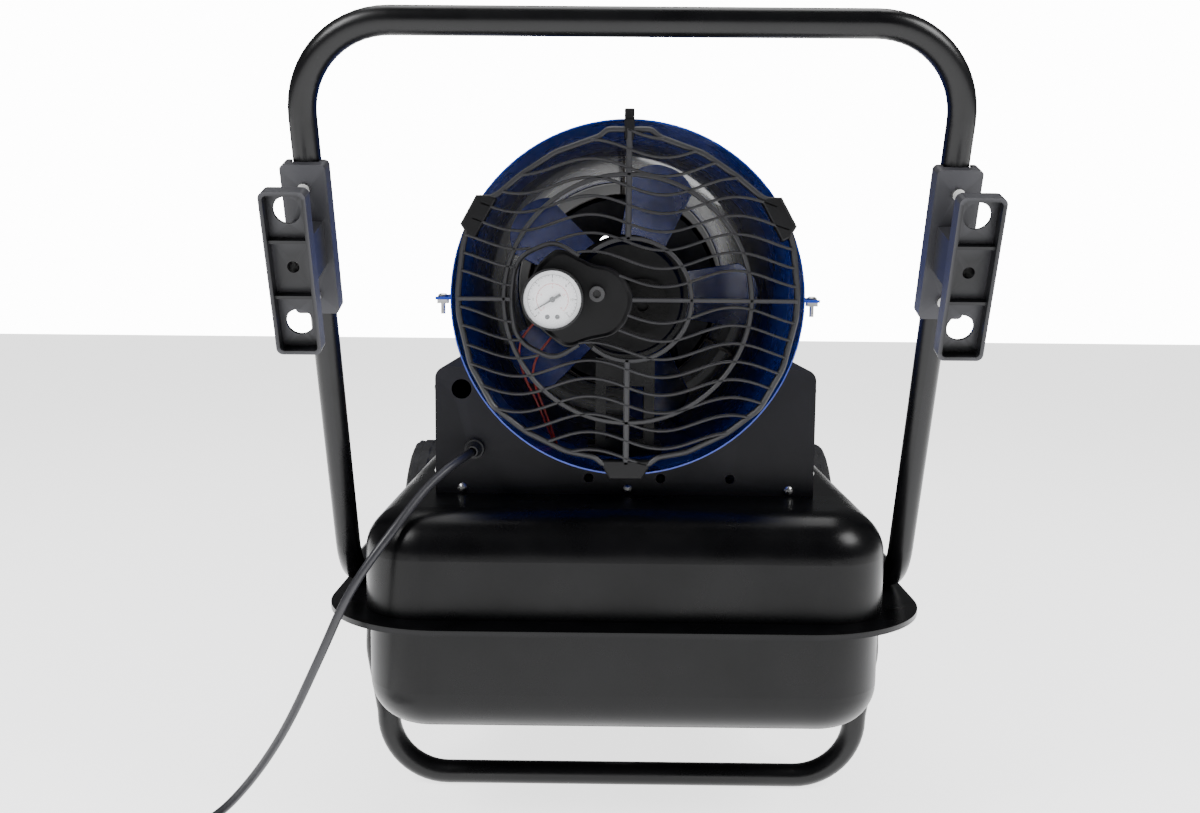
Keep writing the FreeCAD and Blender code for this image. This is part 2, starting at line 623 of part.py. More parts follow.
ROCKER_TILT = 7.0
tilt = FreeCAD.Placement(Vector(), FreeCAD.Rotation(Vector(0, 1, 0), -ROCKER_TILT), ROCKER_PIVOT)
switch_rocker = doc.addObject("Part::Compound", "rocker_tilted")
PIN_RADIUS = 2.2
rocker_pin = rod("rocker_pin", PIN_RADIUS, 2 * ROCKER_HALF + 0.4,
                 (ROCKER_PIVOT.x, SWITCH_Y + ROCKER_HALF + 0.2, CONTROL_Z), ALONG_Y)
switch_rocker.Links = [joined("rocker_solid", [rocker, rocker_pin])]
switch_rocker.Placement = tilt
node("power_switch", switch_rocker)
knob_points = [(-20, 0), (-20, 10), (-18.5, 12.5), (-4.5, 13.5), (-3.2, 15), (-2, 15), (-2, KNOB_STEM),
               (6, KNOB_STEM), (6, 0)]
knob_body = turned("knob_body", knob_points, (-dim.box_half_width, KNOB_Y, CONTROL_Z), "X")
pointer = block("knob_pointer", (2, 2.4, 9), (-dim.box_half_width - 21.2, KNOB_Y - 1.2, CONTROL_Z + 1))
node("thermostat_knob", joined("thermostat_knob_solid", [knob_body, pointer]))
thermostat_pot = ring("thermostat_pot", 10, KNOB_STEM + 0.05, 9,
                      (-dim.box_half_width + dim.box_sheet + 0.1, KNOB_Y, CONTROL_Z), ALONG_X)
window_face = padded("window_face", rounded(-19, 19, -11, 11, 2.5), 1.6,
                     (-dim.box_half_width - 1.65, WINDOW_Y, CONTROL_Z), ALONG_X)
window_plug = padded("window_plug", rounded(-16.8, 16.8, -8.8, 8.8, 1), 4,
                     (-dim.box_half_width - 0.1, WINDOW_Y, CONTROL_Z), ALONG_X)
node("display_window", joined("display_window_solid", [window_face, window_plug]))

# electrics on the cradle floor
BOX_INSIDE_Z = BOX_FLOOR + dim.base_plate + 0.05
board_sheet = block("control_board_sheet", (1.6, 120, 68), (BOARD_X, -205, 330))
node("control_board", group("control_board_set", [board_sheet, thermostat_pot]))
node("ignition_transformer", block("ignition_case", (66, 78, 54), (95, -80, BOX_INSIDE_Z)))
node("motor_capacitor", rod("motor_capacitor_can", 17, 62, (152, -240, BOX_INSIDE_Z + 18),
                            FreeCAD.Rotation(Vector(1, 0, 0), -90)))

# ---------------------------------------------------------------- barrel
R = float(dim.barrel_radius)
RI = R - float(dim.barrel_wall)
SEAM_T = 1.2
FLANGE = float(dim.seam_flange)
barrel_length = dim.barrel_front - dim.barrel_rear


def half_shell(label, up):
    """Half of the barrel with a flange along each seam."""
    root = math.sqrt(R ** 2 - SEAM_T ** 2)
    lift = 0.05 * up
    outline = [arc((-RI, lift), (0, up * RI), (RI, lift)), line((RI, lift), (R + FLANGE, lift)),
               line((R + FLANGE, lift), (R + FLANGE, up * SEAM_T)),
               line((R + FLANGE, up * SEAM_T), (root, up * SEAM_T)),
               arc((root, up * SEAM_T), (0, up * R), (-root, up * SEAM_T)),
               line((-root, up * SEAM_T), (-R - FLANGE, up * SEAM_T)),
               line((-R - FLANGE, up * SEAM_T), (-R - FLANGE, lift)),
               line((-R - FLANGE, lift), (-RI, lift))]
    return padded(label, outline, barrel_length, (0, dim.barrel_front, dim.barrel_z), ALONG_Y)


SEAM_SCREWS_Y = (-322.0, -140.0, 45.0, 225.0, 420.0)
SEAM_X = R + 8.0
seam_holes = [rod(f"seam_hole_{side}_{k}", 2.3, 10, (side * SEAM_X, y, dim.barrel_z - 5))
              for side in (-1, 1) for k, y in enumerate(SEAM_SCREWS_Y)]
TOP_SCREW_Y = -328.0
top_hole = rod("top_screw_hole", 2.3, 10, (0, TOP_SCREW_Y, dim.barrel_z + R - 5))
LINE_X = 58.0
LINE_Y = -30.0
LEAD_X = -62.0
LEAD_Y = -262.0
pass_holes = [rod("fuel_pass", 5.0, 60, (LINE_X, LINE_Y, 310)),
              rod("lead_pass", 4.0, 60, (LEAD_X, LEAD_Y, 310))]
node("upper_shell", cut("upper_shell_cut", half_shell("upper_half", 1), seam_holes + [top_hole]))
node("lower_shell", cut("lower_shell_cut", half_shell("lower_half", -1), seam_holes + pass_holes))

shell_screws = []
for side in (-1, 1):
    for k, y in enumerate(SEAM_SCREWS_Y):
        stem = rod(f"seam_stem_{side}_{k}", 2.0, 16, (side * SEAM_X, y, dim.barrel_z - 14))
        head = turned(f"seam_head_{side}_{k}", [(1.3, 0), (1.3, 4.6), (2.6, 4.4), (3.9, 2.5), (3.9, 0)],
                      (side * SEAM_X, y, dim.barrel_z), "Z")
        shell_screws.append(joined(f"seam_screw_{side}_{k}", [stem, head]))
        clip = block(f"seam_clip_block_{side}_{k}", (9, 12, 3.4),
                     (side * SEAM_X - 4.5, y - 6, dim.barrel_z - 4.7))
        bore_hole = rod(f"seam_clip_bore_{side}_{k}", 2.05, 10, (side * SEAM_X, y, dim.barrel_z - 8))
        shell_screws.append(cut(f"seam_clip_{side}_{k}", clip, [bore_hole]))

nose_points = [(-10, RI - 0.1), (0.2, RI - 0.1), (0.2, R), (17, R), (65, 119.2), (65, 118), (63, 118),
               (15.6, RI - 1.3), (-10, RI - 1.3)]
node("outlet_nose", turned("outlet_nose_turned", nose_points, (0, dim.barrel_front, dim.barrel_z)))

# ---------------------------------------------------------------- intake guard
G = float(dim.guard_radius)
DEPTH = dim.guard_depth
guard_at = (0, dim.guard_front, dim.barrel_z)
guard_parts = []
for k, (outer, inner) in enumerate(((G, G - 7.5), (108.5, 104.5), (55.0, 51.5))):
    outline = [circle((0, 0), outer), circle((0, 0), inner)]
    guard_parts.append(padded(f"guard_ring_{k}", outline, DEPTH, guard_at, ALONG_Y))
guard_parts.append(padded("guard_spine", rounded(-2.6, 2.6, 1 - G, G - 1, 0.5), DEPTH, guard_at, ALONG_Y))
guard_parts.append(padded("guard_beam", rounded(1 - G, G - 1, -2.6, 2.6, 0.5), DEPTH, guard_at, ALONG_Y))
WAVE_PITCH = 15.6
WAVE_LIFT = 3.0
WAVE_HEIGHT = 7.2
WAVE_LENGTH = 124.0
BAR_HALF = 1.3
LOWEST_ROW, HIGHEST_ROW = -9, 8


def wave_height(row, x):
    """Height of a wavy bar's middle line above the barrel axis."""
    return WAVE_LIFT + row * WAVE_PITCH - WAVE_HEIGHT * math.sin(2 * math.pi * (x + 1) / WAVE_LENGTH)


def wave_end(row, side):
    """Where a wavy bar runs into the outer ring."""
    x = 0.0
    for _ in range(12):
        x = side * math.sqrt((G - 3.5) ** 2 - min(wave_height(row, x) ** 2, (G - 6) ** 2))
    return x


def wavy_bar(row):
    """One wavy bar of the guard, long enough to reach into the outer ring."""
    start, end = wave_end(row, -1), wave_end(row, 1)
    steps = 18
    xs = [start + (end - start) * k / steps for k in range(steps + 1)]
    wave = [wave_height(row, x) for x in xs]
    upper = Part.BSplineCurve()
    upper.interpolate([Vector(x, y + BAR_HALF, 0) for x, y in zip(xs, wave)])
    lower = Part.BSplineCurve()
    lower.interpolate([Vector(x, y - BAR_HALF, 0) for x, y in zip(xs, wave)])
    ends = [Part.LineSegment(upper.value(upper.FirstParameter), lower.value(lower.FirstParameter)),
            Part.LineSegment(upper.value(upper.LastParameter), lower.value(lower.LastParameter))]
    outline = Part.Wire(Part.__sortEdges__([c.toShape() for c in [upper, lower] + ends]))
    bar = Part.Face(outline).extrude(Vector(0, 0, float(DEPTH) - 2))
    return bar


bars = [wavy_bar(row) for row in range(LOWEST_ROW, HIGHEST_ROW + 1) if row != 0]
guard_parts.append(put(feature("guard_bars", Part.makeCompound(bars)), guard_at, ALONG_Y))
gauge_place = (float(dim.gauge_x), 0.5)
POD_RADIUS = 33.0
guard_parts.append(padded("guard_pod_left", [circle(gauge_place, POD_RADIUS)], DEPTH, guard_at, ALONG_Y))
guard_parts.append(padded("guard_pod", rounded(-62, 8, -36, 38, 14), DEPTH, guard_at, ALONG_Y))
LOOP_OUTLINE = rounded(-101, -30, -52, 50, 30) + rounded(-97, -34, -48, 46, 26)
guard_parts.append(padded("guard_gauge_loop", LOOP_OUTLINE, DEPTH, guard_at, ALONG_Y))
LUG_ANGLES = (29.0, 151.0, 270.0)
for k, angle in enumerate(LUG_ANGLES):
    a = math.radians(angle)
    lug = padded(f"guard_lug_{k}", rounded(G - 6, R + 3.2, -17, 17, 2), 6,
                 (0, dim.guard_front - 1, dim.barrel_z), ALONG_Y)
    lug.Placement = FreeCAD.Placement(lug.Placement.Base, FreeCAD.Rotation(Vector(0, 1, 0), -angle)
                                      .multiply(ALONG_Y))
    guard_parts.append(lug)
top_tab = block("guard_top_tab", (10, 14, 3), (-5, TOP_SCREW_Y - 9, dim.barrel_z + RI - 3.1))
tab_neck = block("guard_top_neck", (10, 5, 9), (-5, TOP_SCREW_Y - 14, dim.barrel_z + RI - 9))
guard_parts += [top_tab, tab_neck]
guard_solid = joined("guard_solid", guard_parts)
guard_cuts = [rod("gauge_opening", 6.2, 30, (gauge_place[0], dim.guard_front + 5, dim.barrel_z + 0.5),
                  ALONG_Y),
              rod("screw_opening", 7.2, 30, (dim.screw_x, dim.guard_front + 5, dim.screw_z), ALONG_Y),
              rod("guard_screw_bore", 2.2, 30, (0, TOP_SCREW_Y, dim.barrel_z + R - 15))]
node("intake_guard", cut("intake_guard_cut", guard_solid, guard_cuts))
shell_screws.append(joined("guard_screw", [
    rod("guard_screw_stem", 2.0, 9, (0, TOP_SCREW_Y, dim.barrel_z + R - 8)),
    turned("guard_screw_head", [(0.1, 0), (0.1, 4.4), (1.6, 4.2), (3, 2.4), (3, 0)],
           (0, TOP_SCREW_Y, dim.barrel_z + R), "Z")]))
node("shell_screws", group("shell_screw_set", shell_screws))

# ---------------------------------------------------------------- pressure gauge
gauge_at = (dim.gauge_x, dim.gauge_face_y, dim.barrel_z + 0.5)
case_points = [(0, 24.2), (0, 26), (22, 26), (24, 24), (24, 0), (5, 0), (5, 24.2)]
case_cup = turned("gauge_case_turned", case_points, gauge_at)
node("gauge_dial", rod("gauge_dial_disc", 24.1, 0.8,
                       (dim.gauge_x, dim.gauge_face_y + 4.95, dim.barrel_z + 0.5), ALONG_Y))
node("gauge_lens", rod("gauge_glass", 24.1, 1.4,
                       (dim.gauge_x, dim.gauge_face_y + 1.8, dim.barrel_z + 0.5), ALONG_Y))
needle_outline = [line((-8, -1.3), (0, -1.0)), line((0, -1.0), (17.5, -0.25)),
                  line((17.5, -0.25), (17.5, 0.25)), line((17.5, 0.25), (0, 1.0)),
                  line((0, 1.0), (-8, 1.3)), line((-8, 1.3), (-8, -1.3))]
needle_blade = padded("needle_blade", needle_outline, 0.5, (0, 0, 0), ALONG_Y)
NEEDLE_REST = 211.0
needle_blade.Placement = FreeCAD.Placement(
    Vector(float(dim.gauge_x), float(dim.gauge_face_y) + 3.4, float(dim.barrel_z) + 0.5),
    FreeCAD.Rotation(Vector(0, 1, 0), -NEEDLE_REST).multiply(ALONG_Y))
needle_hub = rod("needle_hub", 2.4, 1.5, (dim.gauge_x, dim.gauge_face_y + 3.9, dim.barrel_z + 0.5),
                 ALONG_Y)
node("gauge_needle", joined("gauge_needle_solid", [needle_blade, needle_hub]))
PUMP_FACE = dim.motor_rear - 20
stem_long = rod("gauge_stem_long", 5.5, PUMP_FACE - dim.gauge_face_y - 30,
                (dim.gauge_x, PUMP_FACE - 6, dim.barrel_z + 0.5), ALONG_Y)
stem_cross = rod("gauge_stem_cross", 5.5, 27.1, (dim.gauge_x, PUMP_FACE - 8, dim.barrel_z + 0.5), ALONG_X)
stem_ball = feature("gauge_stem_ball", Part.makeSphere(7.0), (0, 0, 0))
put(stem_ball, (dim.gauge_x, PUMP_FACE - 8, dim.barrel_z + 0.5))
node("gauge_case", joined("gauge_case_solid", [case_cup, stem_long, stem_cross, stem_ball]))

# ---------------------------------------------------------------- air pump on the motor's end
PUMP_R = 48.0
SHAFT_HOLE = dim.shaft_radius + dim.fit_gap
PUMP_BORE = 35.0
ROTOR = 31.4
BORE_SHIFT = 3.0
pump_front = dim.motor_rear - 0.2
pump_ring = rod("pump_ring", PUMP_R, 14, (0, pump_front, dim.barrel_z), ALONG_Y)
pump_bore = rod("pump_bore", PUMP_BORE, 20, (0, pump_front + 2, dim.barrel_z + BORE_SHIFT), ALONG_Y)
node("pump_body", cut("pump_body_cut", pump_ring, [pump_bore]))
rotor_disc = ring("rotor_disc", ROTOR, SHAFT_HOLE, 13.4, (0, pump_front - 0.3, dim.barrel_z), ALONG_Y)
vane_slots = []
vanes = []
for k in range(4):
    turn = FreeCAD.Rotation(Vector(0, 1, 0), 90 * k + 45).multiply(ALONG_Y)
    slot = block(f"vane_slot_{k}", (18, 4.2, 20), (0, 0, 0))
    slot.Placement = FreeCAD.Placement(Vector(0, float(pump_front) + 2, float(dim.barrel_z)), turn
                                       ).multiply(FreeCAD.Placement(Vector(14, -2.1, 0), ALONG_Z))
    vane_slots.append(slot)
    vane = block(f"vane_{k}", (16.8, 4.0, 13.2), (0, 0, 0))
    vane.Placement = FreeCAD.Placement(Vector(0, float(pump_front) - 0.4, float(dim.barrel_z)), turn
                                       ).multiply(FreeCAD.Placement(Vector(14.3, -2, 0), ALONG_Z))
    vanes.append(vane)
node("pump_rotor", group("pump_rotor_set", [cut("pump_rotor_cut", rotor_disc, vane_slots)] + vanes))
COVER_BACK = pump_front - 14.05
node("pump_end_cover", joined("pump_end_cover_solid", [
    rod("pump_cover_disc", PUMP_R, 6, (0, COVER_BACK, dim.barrel_z), ALONG_Y),
    rod("pump_cover_boss", 10, 14, (dim.screw_x, COVER_BACK - 5, dim.screw_z), ALONG_Y)]))
filter_ring = [circle((14, -6), 24), circle((14, -6), 5)]
node("air_filter", padded("air_filter_pad", filter_ring, 9, (0, COVER_BACK - 6.1, dim.barrel_z), ALONG_Y))
screw_top = float(COVER_BACK) - 19.1
screw_length = screw_top - (float(dim.guard_front) - 18)
knob_profile = [(0, 0), (0, 4.5), (-14, 4.5), (-14, 6.6), (-screw_length, 6.6), (-screw_length, 3.4),
                (3 - screw_length, 3.0), (3 - screw_length, 0)]
node("pump_adjuster", turned("pump_adjuster_turned", knob_profile, (dim.screw_x, screw_top, dim.screw_z)))

# ---------------------------------------------------------------- motor, shaft and fan
M = float(dim.motor_radius)
motor_length = dim.motor_front - dim.motor_rear
L = float(motor_length)
bore = float(SHAFT_HOLE)
motor_points = [(0, bore), (0, M - 12), (8, M - 4), (16, M - 3), (16, M), (L - 16, M), (L - 16, M - 3),
                (L - 8, M - 4), (L, M - 14), (L, bore)]
node("motor_body", turned("motor_body_turned", motor_points, (0, dim.motor_rear, dim.barrel_z)))
node("motor_shaft", rod("motor_shaft_bar", dim.shaft_radius, 180,
                        (0, dim.motor_rear + 166, dim.barrel_z), ALONG_Y))
STRAP_Y = -212.0
STRAP_WIDTH = 34.0
strap = ring("bracket_strap", M + 2.4, M + 0.1, STRAP_WIDTH, (0, STRAP_Y, dim.barrel_z), ALONG_Y)
leg = block("bracket_leg", (56, STRAP_WIDTH, RI - M - 1.5 - 8), (-28, STRAP_Y - STRAP_WIDTH,
                                                                dim.barrel_z - RI + 8))
foot = rod("bracket_foot", RI - 0.3, STRAP_WIDTH, (0, STRAP_Y, dim.barrel_z), ALONG_Y)
foot_zone = block("bracket_zone", (70, STRAP_WIDTH, 12), (-35, STRAP_Y - STRAP_WIDTH, dim.barrel_z - RI))
foot_pad = doc.addObject("Part::Common", "bracket_foot_pad")
foot_pad.Base = foot
foot_pad.Tool = foot_zone
leg_slots = [block("bracket_slot", (36, STRAP_WIDTH + 2, 50), (-18, STRAP_Y - STRAP_WIDTH - 1,
                                                              dim.barrel_z - RI + 18)),
             rod("bracket_motor_room", M + 0.1, STRAP_WIDTH + 2, (0, STRAP_Y + 1, dim.barrel_z), ALONG_Y)]
node("motor_bracket", joined("motor_bracket_solid", [strap, cut("bracket_leg_cut", leg, leg_slots),
                                                     foot_pad]))

BLADES = 5
hub_points = [(0, bore), (0, 24), (4, 27), (30, 27), (33, 24), (33, bore)]
FAN_BACK = dim.fan_hub_y - 16.5


def fan_blade(angle):
    """One pitched blade, round at its tip, whose root sits inside the hub."""
    root = 24.0
    tip = float(dim.fan_radius)
    width_root, width_tip = 42.0, 74.0
    outline = [line((root, -width_root / 2), (tip - 18, -width_tip / 2)),
               arc((tip - 18, -width_tip / 2), (tip - 6, -width_tip / 4), (tip - 4, 0)),
               arc((tip - 4, 0), (tip - 8, width_tip / 4), (tip - 26, width_tip / 2)),
               line((tip - 26, width_tip / 2), (root, width_root / 2)),
               line((root, width_root / 2), (root, -width_root / 2))]
    blade = Part.Face(Part.Wire([c.toShape() for c in outline])).extrude(Vector(0, 0, 1.6))
    blade.translate(Vector(0, 0, -0.8))
    blade.rotate(Vector(0, 0, 0), Vector(1, 0, 0), 28)
    blade.rotate(Vector(0, 0, 0), Vector(0, 0, 1), angle)
    return blade


blades = put(feature("fan_blades", Part.makeCompound([fan_blade(360 / BLADES * k) for k in range(BLADES)])),
             (0, dim.fan_hub_y, dim.barrel_z), ALONG_Y)
hub_body = turned("fan_hub", hub_points, (0, FAN_BACK, dim.barrel_z))
shaft_room = rod("fan_bore", SHAFT_HOLE, 80, (0, dim.fan_hub_y + 40, dim.barrel_z), ALONG_Y)
node("fan", cut("fan_cut", joined("fan_solid", [hub_body, blades]), [shaft_room]))

# ---------------------------------------------------------------- burner and chamber
C = float(dim.chamber_radius)
NOZZLE_HOLE = 9.0
head_points = [(0, NOZZLE_HOLE), (0, C - 6), (4, C - 1.4), (14, C - 1.4), (14, C - 2.6), (5, C - 2.6),
               (1.4, C - 6.6), (1.4, NOZZLE_HOLE)]
burner_disc = turned("burner_disc", head_points, (0, dim.chamber_rear, dim.barrel_z))
swirl = []
for k in range(8):
    a = math.radians(45 * k + 20)
    swirl.append(rod(f"swirl_hole_{k}", 7, 10, (60 * math.cos(a), dim.chamber_rear + 5,
                                               dim.barrel_z + 60 * math.sin(a)), ALONG_Y))
nozzle_points = [(-26, 0), (-26, 8.8), (-2, 8.8), (-2, 12), (-0.1, 12), (-0.1, 8.8), (12, 8.8), (18, 4),
                 (20, 4), (20, 0)]
node("nozzle", turned("nozzle_turned", nozzle_points, (0, dim.chamber_rear, dim.barrel_z)))
igniter_rods = []
for k, x in enumerate((-5.0, 5.0)):
    igniter_rods.append(rod(f"igniter_rod_{k}", 3.4, 46, (x, dim.chamber_rear + 30, dim.barrel_z + 36),
                            ALONG_Y))
igniter_plate = block("igniter_plate", (24, 3, 16), (-12, dim.chamber_rear - 3.1, dim.barrel_z + 28))
igniter_holes = [rod(f"igniter_hole_{k}", 3.6, 20, (x, dim.chamber_rear + 10, dim.barrel_z + 36), ALONG_Y)
                 for k, x in enumerate((-5.0, 5.0))]
node("burner_head", cut("burner_head_cut", burner_disc, swirl + igniter_holes))
node("igniter", joined("igniter_solid", igniter_rods + [igniter_plate]))
node("photocell", rod("photocell_can", 7, 22, (60 * math.cos(math.radians(200)), dim.chamber_rear - 0.2,
                                              dim.barrel_z + 60 * math.sin(math.radians(200))), ALONG_Y))
chamber_length = dim.chamber_front - dim.chamber_rear - 6
chamber_tube = ring("chamber_tube", C, C - 1.2, chamber_length, (0, dim.chamber_front, dim.barrel_z),
                    ALONG_Y)
supports = []
for station, y in (("rear", 60.0), ("front", 380.0)):
    for k in range(3):
        a = 90 + 120 * k
        post = block(f"support_{station}_{k}", (RI - C + 0.4, 20, 3), (0, 0, 0))
        post.Placement = FreeCAD.Placement(
            Vector(0, y, float(dim.barrel_z)), FreeCAD.Rotation(Vector(0, 1, 0), -a)
            ).multiply(FreeCAD.Placement(Vector(C - 0.6, 0, -1.5), ALONG_Z))
        supports.append(post)
node("combustion_chamber", joined("combustion_chamber_solid", [chamber_tube] + supports))
spread_points = [(0, 0), (-16, 62), (-14.6, 62.6), (1.4, 0)]
SPREADER_Y = dim.chamber_front - 60
spread_cone = turned("spreader_cone", spread_points, (0, SPREADER_Y, dim.barrel_z))
arms = []
for k in range(3):
    arm = block(f"spreader_arm_{k}", (C - 1.4 - 56, 10, 1.5), (0, 0, 0))
    spoke_turn = FreeCAD.Rotation(Vector(0, 1, 0), -120 * k - 30)
    hub_place = FreeCAD.Placement(Vector(0, float(SPREADER_Y) - 22, float(dim.barrel_z)), spoke_turn)
    arm.Placement = hub_place.multiply(FreeCAD.Placement(Vector(56, 0, -0.75), ALONG_Z))
    arms.append(arm)
node("flame_spreader", joined("flame_spreader_solid", [spread_cone] + arms))

# lines between box, pump and nozzle
LINE_RADIUS = 4.0
fuel_route = [(LINE_X, LINE_Y, 302), (LINE_X, LINE_Y, 420), (30, -34, 474), (0, -36, 482),
              (0, -6.1, 482)]
fuel_path = bent_path(fuel_route, [40.0, 25.0, 12.0])
node("fuel_line", feature("fuel_hose", swept(fuel_path, LINE_RADIUS)))

# ---------------------------------------------------------------- cord hooks on the handle legs
HOOK_HALF = 17.5
TRAY_FLOOR = 72.0
TRAY_RIM = 86.0
SADDLE_TOP = 19.0


def hook_box(x0, x1, s0, s1, o0, o1, radius=0.0):
    """A block in the handle leg's own directions, with its corners along 'out' rounded."""
    shape = Part.makeBox(x1 - x0, o1 - o0, s1 - s0, Vector(x0, o0, s0))
    if radius:
        upright = [e for e in shape.Edges if abs(e.Vertexes[0].Y - e.Vertexes[-1].Y) > 1]
        shape = shape.makeFillet(radius, upright)
    return shape


def cord_hook(side):
    """Saddle over the tube, post and open tray, moulded in one."""
    low, high = HOOK_HEIGHTS[0] - 23, HOOK_HEIGHTS[1] + 17
    saddle = hook_box(-18, 18, low + 7, high + 2, 2, SADDLE_TOP, 4)
    post = hook_box(-12, 12, 318, 354, SADDLE_TOP - 3, TRAY_FLOOR + 1)
    tray = hook_box(-HOOK_HALF, HOOK_HALF, low, high, TRAY_FLOOR, TRAY_RIM, 5)
    hollow = hook_box(3 - HOOK_HALF, HOOK_HALF - 3, low + 3, high - 3, TRAY_FLOOR + 3, TRAY_RIM + 5, 3)
    tray = tray.cut(hollow)
    ribs = [hook_box(-HOOK_HALF + 1, HOOK_HALF - 1, s, s + 2.5, TRAY_FLOOR + 1, TRAY_RIM - 3)
            for s in (313.0, 357.0)]
    channel = Part.makeCylinder(float(TUBE_HALF) + 0.1, 200, Vector(0, 0, low - 20))
    mouth = Part.makeBox(2 * float(TUBE_HALF) + 0.2, 12, 200, Vector(-float(TUBE_HALF) - 0.1, -2, low - 20))
    shape = saddle.fuse([post, tray] + ribs).cut([channel, mouth])
    drills = []
    for s in HOOK_HEIGHTS:
        drills.append(Part.makeCylinder(2.6, 60, Vector(0, -5, s), Vector(0, 1, 0)))
        drills.append(Part.makeCylinder(10.4, 30, Vector(0, TRAY_FLOOR - 2, s), Vector(0, 1, 0)))
    drills.append(Part.makeCylinder(4.6, 80, Vector(0, TRAY_FLOOR - 20, 336), Vector(0, 1, 0)))
    shape = shape.cut(drills).removeSplitter()
    frame = FreeCAD.Matrix(-1, 0, 0, 0, 0, LEG_OUT.y, LEG_UP.y, 0, 0, LEG_OUT.z, LEG_UP.z, 0, 0, 0, 0, 1)
    placement = FreeCAD.Placement(frame)
    placement.Base = LEG_FOOT + Vector(side * float(dim.rail_half_gap), 0, 0)
    return shape, placement


hook_screws = []
for side, name in ((-1, "left"), (1, "right")):
    shape, placement = cord_hook(side)
    item = node(f"cord_hook_{name}", feature(f"cord_hook_{name}_moulding", shape))
    item.Placement = placement
    for k, s in enumerate(HOOK_HEIGHTS):
        stem = Part.makeCylinder(2.4, 22, Vector(0, -2, s), Vector(0, 1, 0))
        head = Part.makeCylinder(4.8, 3.2, Vector(0, SADDLE_TOP + 0.1, s), Vector(0, 1, 0))
        screw = feature(f"hook_screw_{name}_{k}", stem.fuse(head).removeSplitter())
        screw.Placement = placement
        hook_screws.append(screw)
    boss_head = Part.makeCylinder(4.4, 4, Vector(0, TRAY_FLOOR - 19.8, 336), Vector(0, 1, 0))
    boss_screw = feature(f"hook_boss_screw_{name}", boss_head)
    boss_screw.Placement = placement
    hook_screws.append(boss_screw)
node("pan_screws", group("pan_screw_set", box_screws + hook_screws))

# ---------------------------------------------------------------- mains cord
CORD_RADIUS = dim.cord_diameter * 0.5
gland_at = (GLAND_X, dim.box_rear, GLAND_Z + float(BOX_FLOOR))
CORD_R = float(CORD_RADIUS)
gland_points = [(8, CORD_R + 0.05), (8, 8.6), (1.3, 8.6), (1.3, 6.9), (-0.1, 6.9), (-0.1, 9.5), (-8, 9.0),
                (-8, 7.4), (-24, 5.2), (-24, CORD_R + 0.05)]
node("cord_gland", turned("cord_gland_turned", gland_points, gland_at))
FLOOR_Z = CORD_R + 0.1
cord_route = [
    (-139.7, -262, 341.1), (-140, -301, 341), (-154, -323, 334), (-172, -343, 319),
    (-186, -360, 302), (-198.5, -374, 285), (-212, -382, 267), (-225, -387, 248), (-240, -389, 222),
    (-254, -388, 190), (-269, -385, 158), (-284, -379, 127), (-300, -372, 98), (-321, -362, 66),
    (-343, -355, 38), (-362, -354, 19), (-383, -360, 7.5), (-401, -372, FLOOR_Z),
    (-411, -388, FLOOR_Z), (-414.9, -402, FLOOR_Z)]
turns = []
for before, here, after in zip(cord_route, cord_route[1:], cord_route[2:]):
    a = Vector(*before) - Vector(*here)
    b = Vector(*after) - Vector(*here)
    shorter = min(a.Length, b.Length)
    turns.append(0.45 * shorter / math.tan((math.pi - a.getAngle(b)) / 2))
print("cord arc radii, mm:", " ".join(f"{r:.0f}" for r in turns))
cord_path = bent_path(cord_route, turns)
cord_shape = swept(cord_path, CORD_RADIUS)
section = math.pi * CORD_R ** 2
print(f"cord tube length {cord_path.Length:.0f} mm, volume error "
      f"{cord_shape.Volume / (section * cord_path.Length) - 1:.4f}")
# the rest of the lead is wound into a flat coil of two layers, two turns side by side in each
COIL_X = -365.0
COIL_Y = -422.0
COIL_MIDDLE = dim.coil_middle_radius
coil_height = dim.cord_diameter * 2
node("cord_coil", ring("cord_coil_ring", COIL_MIDDLE + dim.cord_diameter, COIL_MIDDLE - dim.cord_diameter,
                       coil_height, (COIL_X, COIL_Y, 0.2)))
PLUG_Z = 10.2
outer_turn = float(COIL_MIDDLE) + CORD_R
tail_y = COIL_Y - outer_turn
plug_x = COIL_X + 50
tail_path = bent_path([(COIL_X + 16, tail_y - 1, 11.6), (COIL_X + 34, tail_y - 2.5, 11),
                       (plug_x, tail_y - 5, PLUG_Z)], [90.0])
node("power_cord", group("power_cord_set", [feature("power_cord_tube", cord_shape),
                                            feature("power_cord_tail", swept(tail_path, CORD_RADIUS))]))
plug_at = (plug_x, tail_y - 5, PLUG_Z)
neck = turned("plug_neck", [(-14, CORD_R + 0.05), (-14, 5.4), (4, 7.2), (4, 0), (0, 0), (0, CORD_R + 0.05)],
              plug_at, "X")
grip_block = Part.makeBox(32, 26, 19.6, Vector(3, -13, -9.8))
grip = put(feature("plug_grip", grip_block.makeFillet(3.5, grip_block.Edges)), plug_at)
blades_out = [block(f"plug_blade_{k}", (18, 1.5, 6.4), (plug_x + 34, tail_y - 5 + y - 0.75, PLUG_Z - 5.2))
              for k, y in enumerate((-6.35, 6.35))]
ground = rod("plug_ground", 2.4, 20, (plug_x + 34, tail_y - 5, PLUG_Z + 5.2), ALONG_X)
node("cord_plug", joined("cord_plug_solid", [neck, grip, ground] + blades_out))

# ---------------------------------------------------------------- check and write
doc.recompute()
failed = [o.Label for o in doc.Objects if "Invalid" in o.State or "Error" in o.State]
for label, item in nodes.items():
    shape = item.Shape
    if shape.isNull() or not shape.isValid() or not shape.Solids:
        failed.append(label)
if failed:
    raise RuntimeError("not built: " + ", ".join(sorted(set(failed))))
for label, item in nodes.items():
    item.Shape.exportStep(f"parts/{label}.step")
print(len(nodes), "nodes written")
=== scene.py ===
import json
import math

import bmesh
import bpy
from mathutils import Matrix, Vector


